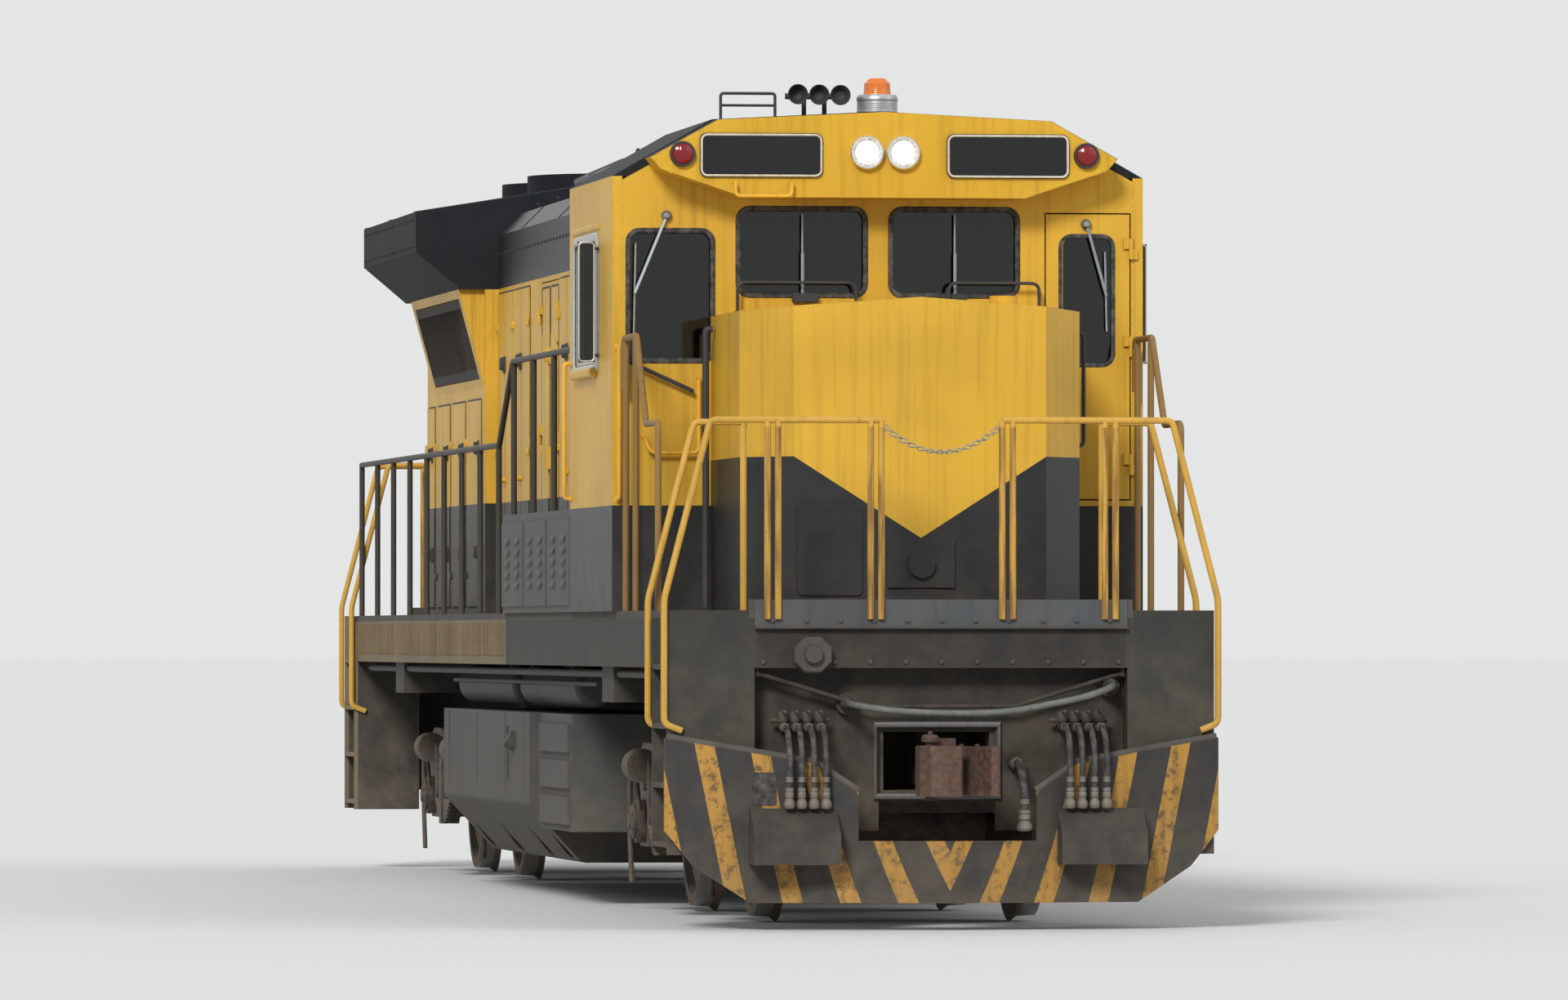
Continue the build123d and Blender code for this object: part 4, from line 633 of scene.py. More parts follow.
# unpainted finishes: how each one is made, its material name, its colour, and what else it takes
UNPAINTED = {
    "truck": (cast_steel, "truck_cast_steel", "2E2B28", {"dust": 0.5, "rust": 0.4}),
    "coupler": (cast_steel, "coupler_cast_steel_rusty", "402C24", {"dust": 0.2, "rust": 0.7}),
    "fitting": (cast_steel, "fitting_malleable_iron", "6E6A62", {"dust": 0.4, "rust": 0.3}),
    "alloy": (bare_metal, "window_frame_aluminium", "BEBEB8", {"rough": 0.36}),
    "chrome": (bare_metal, "lamp_bezel_chrome", "E6E4DE", {"rough": 0.12}),
    "galvanised": (bare_metal, "fan_sheet_galvanised", "8E9294", {"rough": 0.4, "brushed": 0.05}),
    "gasket": (rubber, "window_gasket_rubber", "141414", {}),
    "hose": (rubber, "air_hose_rubber", "1F1F1F", {}),
    "jumper": (rubber, "jumper_jacket_rubber", "555A54", {"rough": 0.6}),
    "board": (lens, "board_acrylic_black", "0B0B0C", {}),
    "mirror": (lens, "mirror_glass_dark", "1B2024", {}),
    "lamp": (lens, "headlamp_lens_glass", "FFF6E0", {"glow": 2.2}),
    "marker": (lens, "marker_lens_red", "8A1216", {"clear": 0.2}),
}
made_finishes = {}


def finish(name):
    """A finish by its short name, made the first time it is asked for."""
    if name not in made_finishes:
        if name in FINISHES:
            made_finishes[name] = FINISHES[name]()
        elif name in PAINTED:
            called, code, look = PAINTED[name]
            made_finishes[name] = plain_paint(called, code, **look)
        else:
            kind, called, code, look = UNPAINTED[name]
            made_finishes[name] = kind(called, code, **look)
    return made_finishes[name]


# Stage and camera
# the photograph's focal length and two of its points, in its own 1920-wide pixels
PHOTO_FOCUS = 4760
PHOTO_VANISHING = (-50, 801)
OBJECT_MIDDLE = (577, 747)
CAMERA_PLACE = (76.75, -9.75, RAIL_TOP + 1.6)


class LOCOMOTIVE_OT_stage(Operator):
    """Set the floor, the backdrop light, the lamps and the camera"""

    bl_idname = "locomotive.stage"
    bl_label = "Stage and camera"

    def execute(self, context):
        scene = context.scene
        scene.view_settings.view_transform = "Standard"
        angle = np.linspace(0, 2 * np.pi, 48, endpoint=False)
        edge = np.stack([900 * np.cos(angle), 900 * np.sin(angle), 0 * angle], 1)
        mesh = bpy.data.meshes.new("studio_floor")
        mesh.from_pydata(edge.tolist(), [], [list(range(48))])
        paper = Pattern("studio_floor_paper", Roughness=0.95, Base_Color=linear("D6D6D3"))
        mesh.materials.append(paper.material)
        floor = bpy.data.objects.new("studio_floor", mesh)
        scene.collection.objects.link(floor)

        world = bpy.data.worlds.new("studio_world")
        world.use_nodes = True
        tree = world.node_tree
        tree.nodes.clear()
        path = add(tree, "LightPath").outputs
        seen = path["Is Camera Ray"]
        for ray in ("Is Glossy Ray", "Is Transmission Ray"):
            seen = add(tree, "Math", {0: seen, 1: path[ray]}, operation="MAXIMUM").outputs[0]
        fill = add(tree, "Background", {"Color": linear("DCE2EA"), "Strength": 0.5}).outputs[0]
        backdrop = add(tree, "Background", {"Color": linear("E4E6E6"), "Strength": 1.0}).outputs[0]
        both = add(tree, "MixShader", {0: seen, 1: fill, 2: backdrop}).outputs[0]
        add(tree, "OutputWorld", {"Surface": both})
        scene.world = world

        for name, strength, spread, toward in (
            ("key_light", 2.6, 14, (0.90, -0.40, 0.60)),
            ("fill_light", 0.7, 60, (0.5, 0.9, 0.7)),
            ("back_light", 0.6, 60, (-0.9, 0.1, 0.8)),
        ):
            light = bpy.data.lights.new(name, "SUN")
            light.energy = strength
            light.angle = np.radians(spread)
            lamp = bpy.data.objects.new(name, light)
            lamp.rotation_euler = Vector(toward).to_track_quat("Z", "Y").to_euler()
            scene.collection.objects.link(lamp)

        camera = bpy.data.cameras.new("camera")
        camera.lens = scene.locomotive_sizes.lens
        camera.sensor_width = 36
        camera.clip_end = 2000
        view = bpy.data.objects.new("camera", camera)
        aside = (OBJECT_MIDDLE[0] - PHOTO_VANISHING[0]) / PHOTO_FOCUS
        upward = (PHOTO_VANISHING[1] - OBJECT_MIDDLE[1]) / PHOTO_FOCUS
        view.location = CAMERA_PLACE
        view.rotation_euler = Vector((-1, aside, upward)).to_track_quat("-Z", "Y").to_euler()
        scene.collection.objects.link(view)
        scene.camera = view
        return {"FINISHED"}


# Hoses and the jumper cable, along the routes of their solids
# steps (ahead, up) along a hose from its start
HOSE_DROP = [(0, 0), (0.076, 0), (0.146, -0.029), (0.200, -0.083), (0.229, -0.153)]
HOSE_DROP += [(0.230, -0.229), (0.224, -0.305), (0.224, -0.380)]
BRAKE_HOSE_DROP = [(0, 0), (0.102, 0), (0.196, -0.039), (0.268, -0.111), (0.307, -0.205), (0.307, -0.305)]
JUMPER_ROUTE = [
    *[(9.410, -0.520, 1.258), (9.485, -0.520, 1.258), (9.556, -0.497, 1.250), (9.617, -0.453, 1.241)],
    *[(9.661, -0.392, 1.231), (9.684, -0.321, 1.222), (9.686, -0.175, 1.210), (9.680, 0.080, 1.202)],
    *[(9.686, 0.350, 1.212), (9.682, 0.605, 1.260), (9.684, 0.761, 1.292), (9.661, 0.832, 1.314)],
    *[(9.617, 0.893, 1.332), (9.556, 0.937, 1.347), (9.485, 0.960, 1.358), (9.410, 0.960, 1.358)],
]
# where the control air hoses start: x, the innermost one's y, the pitch between them, and z
HOSE_STARTS = (9.495, 0.685, 0.068, 1.128)
BRAKE_HOSE_START = (9.400, 0.430, 0.928)


def hose(name, points, radius, look):
    """A smooth round line whose control points are the route's own points."""
    curve = bpy.data.curves.new(name, "CURVE")
    curve.dimensions = "3D"
    curve.bevel_depth = radius
    curve.bevel_resolution = 3
    curve.use_fill_caps = True
    spline = curve.splines.new("NURBS")
    spline.points.add(len(points) - 1)
    for control, point in zip(spline.points, points):
        control.co = (*point, 1)
    spline.order_u = 3
    spline.use_endpoint_u = True
    spline.resolution_u = 12
    curve.materials.append(finish(look))
    made = bpy.data.objects.new(name, curve)
    bpy.context.scene.collection.objects.link(made)
    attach(made, "carbody")
    return made


def coupling(scale):
    """A hose coupling: a ribbed ferrule, a swelling body and a flat seat, turned round its axis."""
    profile = [(0, 0), (0.024, 0), (0.024, 0.018), (0.021, 0.022), (0.025, 0.030), (0.025, 0.052)]
    profile += [(0.020, 0.060), (0.031, 0.080), (0.033, 0.104), (0.026, 0.116), (0.014, 0.119), (0, 0.119)]
    return lathe(np.array(profile) * (scale, 1), 18)


def clamp(radius):
    """A hose clamp: a wide band with raised edges."""
    profile = [(-0.002, 0), (0.005, 0), (0.005, 0.006), (0.003, 0.008)]
    profile += [(0.003, 0.020), (0.005, 0.022), (0.005, 0.028), (-0.002, 0.028)]
    return lathe(np.array(profile) + (radius, 0), 18)


class LOCOMOTIVE_OT_hoses(Operator):
    """Hang the control air hoses, the brake hose and the jumper cable on the front"""

    bl_idname = "locomotive.hoses"
    bl_label = "Hoses and jumper"

    def execute(self, context):
        start_x, first_y, pitch, level = HOSE_STARTS
        jobs = []
        for side, side_name in SIDES:
            for number in range(4):
                start = (start_x, side * (first_y + number * pitch), level)
                jobs.append((f"control_hose_{side_name}_{number + 1}", start, HOSE_DROP, 0.017, 0.497))
        jobs.append(("brake_hose_line", BRAKE_HOSE_START, BRAKE_HOSE_DROP, 0.023, 0.50))
        for name, (x, y, z), drop, radius, length in jobs:
            points = [(x + ahead, y, z + rise) for ahead, rise in drop]
            line = hose(name, points, radius, "hose")
            end = np.array(points[-1])
            shape = placed(coupling(radius / 0.017), end + (0, 0, 0.045), (0, 0, -1))
            head = piece(name.replace("hose", "coupling"), shape, "fitting")
            bands = [placed(clamp(radius), (x + 0.012, y, z), (1, 0, 0))]
            bands.append(placed(clamp(radius), end + (0, 0, 0.105), (0, 0, -1)))
            clamps = piece(name + "_clamps", bands, "fitting")
            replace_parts(line, "brake_hose" if name.startswith("brake") else "mu_hoses")
            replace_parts(head, "hose_couplings")

        cable = hose("jumper_cable_line", JUMPER_ROUTE, 0.019, "jumper")
        boot = lathe([(0.038, -0.02), (0.040, 0.012), (0.033, 0.03), (0.026, 0.06), (0.0195, 0.075)])
        boots = placed(boot, (JUMPER_ROUTE[0], JUMPER_ROUTE[-1]), (1, 0, 0))
        plugs = piece("jumper_plugs", boots, "hose")
        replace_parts(cable, "jumper_cable")
        return {"FINISHED"}


# Windows
WINDOW_CORNER = 0.06
FRONT_WINDOWS = (
    ((-0.810, -0.080), (3.608, 4.098)),
    ((0.080, 0.810), (3.608, 4.098)),
    ((-1.450, -0.970), (3.228, 3.968)),
)
SIDE_WINDOW = ((5.020, 6.200), (3.208, 3.948))
DOOR_WINDOW = ((1.072, 1.372), (3.208, 3.948))
REAR_DOOR_WINDOW = ((-1.372, -1.072), (3.208, 3.948))


def window_ring(u_range, v_range, grow, steps=5):
    """The rounded outline of a window, grown by a margin."""
    width = u_range[1] - u_range[0] + 2 * grow
    height = v_range[1] - v_range[0] + 2 * grow
    middle = ((u_range[0] + u_range[1]) / 2, (v_range[0] + v_range[1]) / 2)
    return ring(width, height, WINDOW_CORNER + grow, steps) + middle


def pane(u_range, v_range, axis, level, thickness=0.008):
    """A sheet of glass between two levels, filling a window."""
    outline = window_ring(u_range, v_range, 0.002)
    rings = [upright(outline, axis, level + face * thickness / 2) for face in (-1, 1)]
    return skin(np.array(rings if axis == "x" else rings[::-1]))


def wiper(pivot, foot, head, wall, reach=0.45, lean=0.03):
    """A wiper on a wall of constant x: the metal motor boss, arm and spine, and the rubber blade."""
    foot, head = np.array(foot), np.array(head)
    middle = foot + (head - foot) * reach
    outer = wall + lean
    boss = lathe([(0.030, 0), (0.030, lean - 0.006), (0.016, lean + 0.014), (0, lean + 0.016)])
    boss = placed(boss, (wall, *pivot), (1, 0, 0))
    arm = tube([(outer, *pivot), (outer, *middle)], (0.005, 0.010), 6)
    spine = tube([(wall + 0.018, *foot), (wall + 0.018, *head)], (0.003, 0.006), 6)
    claw = tube([(wall + 0.016, *middle), (outer + 0.004, *middle)], 0.008, 6)
    blade = tube([(wall + 0.009, *foot), (wall + 0.009, *head)], (0.009, 0.005), 6)
    return joined([boss, arm, spine, claw]), blade


class LOCOMOTIVE_OT_windows(Operator):
    """Fit the glass, its rubber and aluminium frames, and the wipers"""

    bl_idname = "locomotive.windows"
    bl_label = "Windows and wipers"

    def execute(self, context):
        dress("glass", "cab_glass")
        gaskets = [
            tube(upright(window_ring(u, v, 0.006), "x", CAB_FACE), (0.008, 0.016), 8, closed=True)
            for u, v in FRONT_WINDOWS
        ]
        piece("windscreen_gaskets", gaskets, "gasket")
        for body, (u, v), x, out, name in (
            ("front_cab_door", DOOR_WINDOW, CAB_FACE, -1, "front"),
            ("rear_cab_door", REAR_DOOR_WINDOW, CAB_REAR, 1, "rear"),
        ):
            glass = pane(u, v, "x", x + out * 0.02)
            piece(f"{name}_door_glass", glass, "glass", body)
            rim = upright(window_ring(u, v, 0.006), "x", x + out * 0.002)
            rim = tube(rim, (0.004, 0.014), 8, closed=True)
            piece(f"{name}_door_gasket", rim, "gasket", body)

        (x0, x1), (z0, z1) = SIDE_WINDOW
        frames, runners = [], []
        for side, _ in SIDES:
            wall = side * (CAB_SIDE + 0.002)
            outer = upright(window_ring((x0, x1), (z0, z1), 0.014), "y", wall)
            frames.append(tube(outer, (0.014, 0.026), 8, True))
            inner = side * (CAB_SIDE - 0.018)
            for u_range in ((x0 + 0.01, (x0 + x1) / 2 + 0.015), ((x0 + x1) / 2 - 0.015, x1 - 0.01)):
                sash = window_ring(u_range, (z0 + 0.012, z1 - 0.012), -0.012)
                frames.append(tube(upright(sash, "y", inner), (0.012, 0.016), 6, True))
            gutter = [(x0 - 0.09, wall, z1 + 0.07), (x1 + 0.09, wall, z1 + 0.07)]
            runners.append(tube(gutter, (0.02, 0.010), 6))
            rest = [(x, wall + side * 0.02, z0 - 0.035) for x in (x0 + 0.05, x1 - 0.05)]
            runners.append(tube(rest, (0.03, 0.022), 8))
        piece("side_window_frames", frames, "alloy")
        piece("side_window_gutters", runners, "cab")

        arms, blades = [], []
        for pivot, foot, head in (
            ((-0.445, 3.572), (-0.445, 3.66), (-0.445, 4.07)),
            ((0.445, 3.572), (0.445, 3.66), (0.445, 4.07)),
            ((-1.235, 4.060), (-1.425, 3.38), (-1.415, 3.90)),
        ):
            arm, blade = wiper(pivot, foot, head, CAB_FACE)
            arms.append(arm)
            blades.append(blade)
        motor = pad(0.15, 0.055, 0.06, 0.012, 0.004, 3)
        motors = placed(motor, [(CAB_FACE, y, 3.588) for y in (-0.43, 0.43)], (1, 0, 0), UP)
        piece("wiper_motors", motors, "dark")
        piece("windscreen_wiper_arms", arms, "galvanised")
        piece("windscreen_wiper_blades", blades, "gasket")
        arm, blade = wiper((1.215, 4.020), (1.335, 3.40), (1.325, 3.86), CAB_FACE)
        piece("door_wiper_arm", arm, "galvanised", "front_cab_door")
        piece("door_wiper_blade", blade, "gasket", "front_cab_door")
        return {"FINISHED"}


# Lamps and boards
class LOCOMOTIVE_OT_lamps(Operator):
    """Fit lamp lenses, bezels, marker lamps, the beacon and blank number boards"""

    bl_idname = "locomotive.lamps"
    bl_label = "Lamps and boards"

    def execute(self, context):
        dome = [(0.072, 0), (0.074, 0.004), (0.066, 0.014), (0.045, 0.022), (0.018, 0.026), (0, 0.027)]
        glass = lathe(dome, 28)
        rim = [(0.088, -0.03), (0.097, -0.03), (0.099, 0.012), (0.092, 0.022), (0.080, 0.022)]
        bezel = lathe([*rim, (0.076, 0.012)], 28)
        drum = lathe([(0, -0.032), (0.090, -0.032), (0.090, -0.004), (0.060, -0.002), (0, -0.001)], 28)
        lenses, bezels = [], []
        for x, z, facing in ((HOUSING_FACE, RAIL_TOP + 4.39, 1), (REAR_FACE, RAIL_TOP + 4.23, -1)):
            spots = [(x + facing * 0.024, y, z) for y in (-0.105, 0.105)]
            lenses.append(placed(glass, spots, (facing, 0, 0)))
            bezels.append(placed(joined([bezel, drum]), spots, (facing, 0, 0)))
        piece("headlamp_lenses", lenses, "lamp")
        lamps = piece("headlamp_bezels", bezels, "chrome")
        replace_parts(lamps, "headlamps")

        hood = lathe([(0.064, 0), (0.074, 0), (0.074, 0.03), (0.070, 0.036), (0.063, 0.034)], 24)
        bullet = lathe([(0.062, -0.01), (0.062, 0.03), (0.055, 0.044), (0.034, 0.054), (0, 0.058)], 24)
        hoods, bullets, rims, boards = [], [], [], []
        for x, y, z, facing, y_range, z_range in (
            (HOUSING_FACE, 1.175, RAIL_TOP + 4.378, 1, (0.360, 1.075), (4.273, 4.528)),
            (REAR_FACE, 0.70, RAIL_TOP + 3.85, -1, (0.330, 0.800), (4.078, 4.298)),
        ):
            spots = [(x, side * y, z) for side, _ in SIDES]
            hoods.append(placed(hood, spots, (facing, 0, 0)))
            bullets.append(placed(bullet, spots, (facing, 0, 0)))
            for side, _ in SIDES:
                width, height = y_range[1] - y_range[0], z_range[1] - z_range[0]
                middle = (side * sum(y_range) / 2, sum(z_range) / 2)
                board = pad(width, height, 0.034, 0.04, 0.004, 4)
                boards.append(placed(board, (x - facing * 0.014, *middle), (facing, 0, 0), UP))
                edge = ring(width - 0.02, height - 0.02, 0.035, 5) + middle
                rims.append(tube(upright(edge, "x", x + facing * 0.02), (0.005, 0.007), 6, True))
        bullets = piece("marker_bullets", bullets, "marker")
        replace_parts(bullets, "marker_lamps")
        boards = piece("blank_boards", boards, "board")
        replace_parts(boards, "number_boards")
        piece("marker_bezels", hoods, "dark")
        piece("number_board_rims", rims, "rim")

        # beacon: a drum with two raised bands under a ribbed dome
        beacon = [(0, 0), (0.118, 0), (0.121, 0.006), (0.121, 0.018), (0.118, 0.022), (0.118, 0.078)]
        beacon += [(0.121, 0.082), (0.121, 0.096), (0.118, 0.102), (0.112, 0.112), (0.082, 0.116)]
        beacon += [(0.078, 0.135), (0.076, 0.180), (0.052, 0.208), (0, 0.215)]
        shape = placed(lathe(beacon, 40), (6.5, 0.05, ROOF_TOP))
        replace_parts(piece("beacon_lamp", shape, "beacon"), "beacon")

        # lamp housing over the windscreen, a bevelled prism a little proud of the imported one
        half = [(0, 4.655), (0.972, 4.606), (1.360, 4.390), (1.300, 4.318), (0.820, 4.158)]
        outline = np.array(half + [(-y, z) for y, z in half[:0:-1]])
        middle = np.array((0, 4.40))
        rings = [
            upright(middle + (outline - middle) * shrink, "x", x)
            for x, shrink in ((6.902, 1), (7.168, 1), (7.172, 0.996))
        ]
        piece("lamp_housing", skin(np.array(rings)), "roof", smooth=0)
        return {"FINISHED"}


# Grab irons, chains and other bar work
def staple(start, end, out):
    """The corners of a staple: two feet, and a run that stands off them."""
    start, end = np.array(start, float), np.array(end, float)
    return np.array([start, start + out, end + out, end])


def grab(points, radius, bend=0.04):
    """A bent round bar, with a flat round foot at each end square to its last run."""
    path = bent(points, bend)
    parts = [tube(path, radius, 10)]
    disc = lathe([(0.022, 0), (0.024, 0.004), (0.016, 0.010)], 10)
    for end, inward in ((path[0], path[1]), (path[-1], path[-2])):
        toward = inward - end
        up = UP if abs(toward[2]) < 0.5 * np.linalg.norm(toward) else (0, 1, 0)
        parts.append(placed(disc, end, toward, up))
    return joined(parts)


class LOCOMOTIVE_OT_bar_work(Operator):
    """Fit grab irons, the horn, the roof antenna, safety chains and the end handrails"""

    bl_idname = "locomotive.bar_work"
    bl_label = "Grab irons and chains"

    def execute(self, context):
        radius = context.scene.locomotive_sizes.grab
        yellow, dark = [], []
        face = CAB_FACE
        # upright grab at the cab's right front corner, and the bars under its window
        yellow.append(grab(staple((face, -1.515, 2.42), (face, -1.515, 3.30), (0.06, 0, 0)), radius))
        out = face + 0.05
        bars = (
            (dark, [(out, -1.50, 3.235), (out, -1.09, 3.05)]),
            (yellow, [(out, -1.05, 3.12), (out, -1.05, 2.69), (out, -1.33, 2.69), (out, -1.37, 2.79)]),
        )
        for kind, run in bars:
            kind.append(tube(bent(run, 0.04) if len(run) > 2 else run, radius, 10))
            for end in (run[0], run[-1]):
                kind.append(tube([(face, *end[1:]), (out + 0.004, *end[1:])], radius, 10))
        # rails over the nose in front of the windscreen
        for y0, y1, foot in ((-0.83, -0.14, 3.50), (0.40, 0.93, 3.49)):
            run = staple((6.98, y0, foot), (6.98, y1, foot), (0, 0, 3.675 - foot))
            dark.append(grab(run, 0.010, 0.05))
        # handle on the housing under the right-hand number board
        handle = HOUSING_FACE + 0.045
        run = staple((handle, -0.87, 4.245), (handle, -0.545, 4.245), (0, 0, -0.08))
        yellow.append(tube(bent(run, 0.03), 0.011, 10))
        for y in (-0.87, -0.545):
            yellow.append(tube([(HOUSING_FACE, y, 4.24), (handle + 0.004, y, 4.24)], 0.011, 10))
        # rail up the nose's left side
        dark.append(grab(staple((8.00, 0.97, 2.72), (8.00, 0.97, 3.36), (0, 0.06, 0)), radius))
        # ladder grabs at the hood's rear end, and an upright one behind the cab
        for side, _ in SIDES:
            for z in (2.15, 2.55, 2.95, 3.35):
                feet = [(REAR_FACE, side * y, z) for y in (0.62, 0.92)]
                yellow.append(grab(staple(*feet, (-0.06, 0, 0)), radius))
            feet = [(CAB_REAR + 0.10, side * CAB_SIDE, z) for z in (2.45, 3.25)]
            yellow.append(grab(staple(*feet, (0, side * 0.045, 0)), radius))
        piece("cab_grab_irons", yellow, "yellow")
        piece("window_grab_irons", dark, "dark")

        # horn: three flared trumpets on a common bar, and the low antenna frame beside it
        bell = [(0, -0.06), (0.02, -0.06), (0.02, 0.02), (0.024, 0.1), (0.032, 0.2), (0.055, 0.26)]
        bell += [(0.060, 0.27), (0.056, 0.27), (0.028, 0.21), (0, 0.20)]
        top = 4.778
        horn = [tube([(6.35, -0.47, top), (6.35, -0.13, top)], 0.018, 10)]
        for y, grow in ((-0.43, 1.0), (-0.30, 0.85), (-0.17, 0.7)):
            horn.append(placed(lathe(np.array(bell) * (1, grow), 20), (6.35, y, top), (1, 0, 0)))
        horn += [tube([(6.35, y, 4.63), (6.35, y, top)], 0.014, 8) for y in (-0.36, -0.24)]
        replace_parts(piece("horn_trumpets", horn, "dark"), "horn")
        hoop = staple((6.2, -0.83, 4.62), (6.2, -0.51, 4.62), (0, 0, 0.18))
        antenna = [tube(bent(hoop, 0.02), 0.009, 8)]
        antenna.append(tube([(6.2, -0.83, 4.73), (6.2, -0.51, 4.73)], 0.008, 8))
        piece("roof_antenna", antenna, "dark")

        # safety chains between the inner posts: each link an oval ring, turned a quarter from the last
        angle = np.linspace(0, 2 * np.pi, 12, endpoint=False)
        oval = np.stack([0.022 * np.cos(angle), 0.011 * np.sin(angle), 0 * angle], 1)
        link = tube(oval, 0.0035, 6, closed=True)
        chains = []
        for end, _ in ENDS:
            count = 26
            across = np.linspace(-0.325, 0.325, count)
            sag = 2.66 + 0.14 * (across / 0.325) ** 2  # a parabola, close to the chain's own curve
            for odd, (normal, up) in enumerate((((1, 0, 0), UP), (UP, (1, 0, 0)))):
                spots = np.stack([np.full(count, end * RAIL_X), across, sag], 1)[odd::2]
                chains.append(placed(link, spots, normal, up))
        piece("safety_chains", chains, "galvanised")

        # end handrails with double posts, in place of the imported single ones
        for end, name in ENDS:
            bars = []
            step = end * (STEP_REAR - RAIL_RADIUS)
            for side, _ in SIDES:
                for y in (0.34, 0.40, 0.92, 0.98):
                    post = [(end * RAIL_X, side * y, z) for z in (DECK - 0.05, RAIL_HEIGHT)]
                    bars.append(tube(post, RAIL_RADIUS, 10))
                for x, start in ((end * RAIL_X, 0.34), (step, 1.00)):
                    run = [
                        (x, side * start, RAIL_HEIGHT),
                        (x, side * 1.30, RAIL_HEIGHT),
                        (x, side * 1.56, DECK + 0.06),
                        (x, side * 1.56, RAIL_TOP + 1.12),
                        (x, side * 1.46, RAIL_TOP + 1.08),
                    ]
                    bars.append(tube(bent(run, 0.035), RAIL_RADIUS, 10))
                post = [(step, side * 1.02, z) for z in (DECK, RAIL_HEIGHT)]
                bars.append(tube(post, RAIL_RADIUS, 10))
            rails = piece(f"end_rails_{name}", bars, "rail")
            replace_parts(rails, f"handrails_{name}")
        return {"FINISHED"}


# Hood fittings
def on_side(shape, side, xs, y, zs):
    """Copies of a shape that stand on one side of the locomotive, at each x and each z."""
    return placed(shape, [(x, side * y, z) for x in xs for z in zs], (0, side, 0), UP)


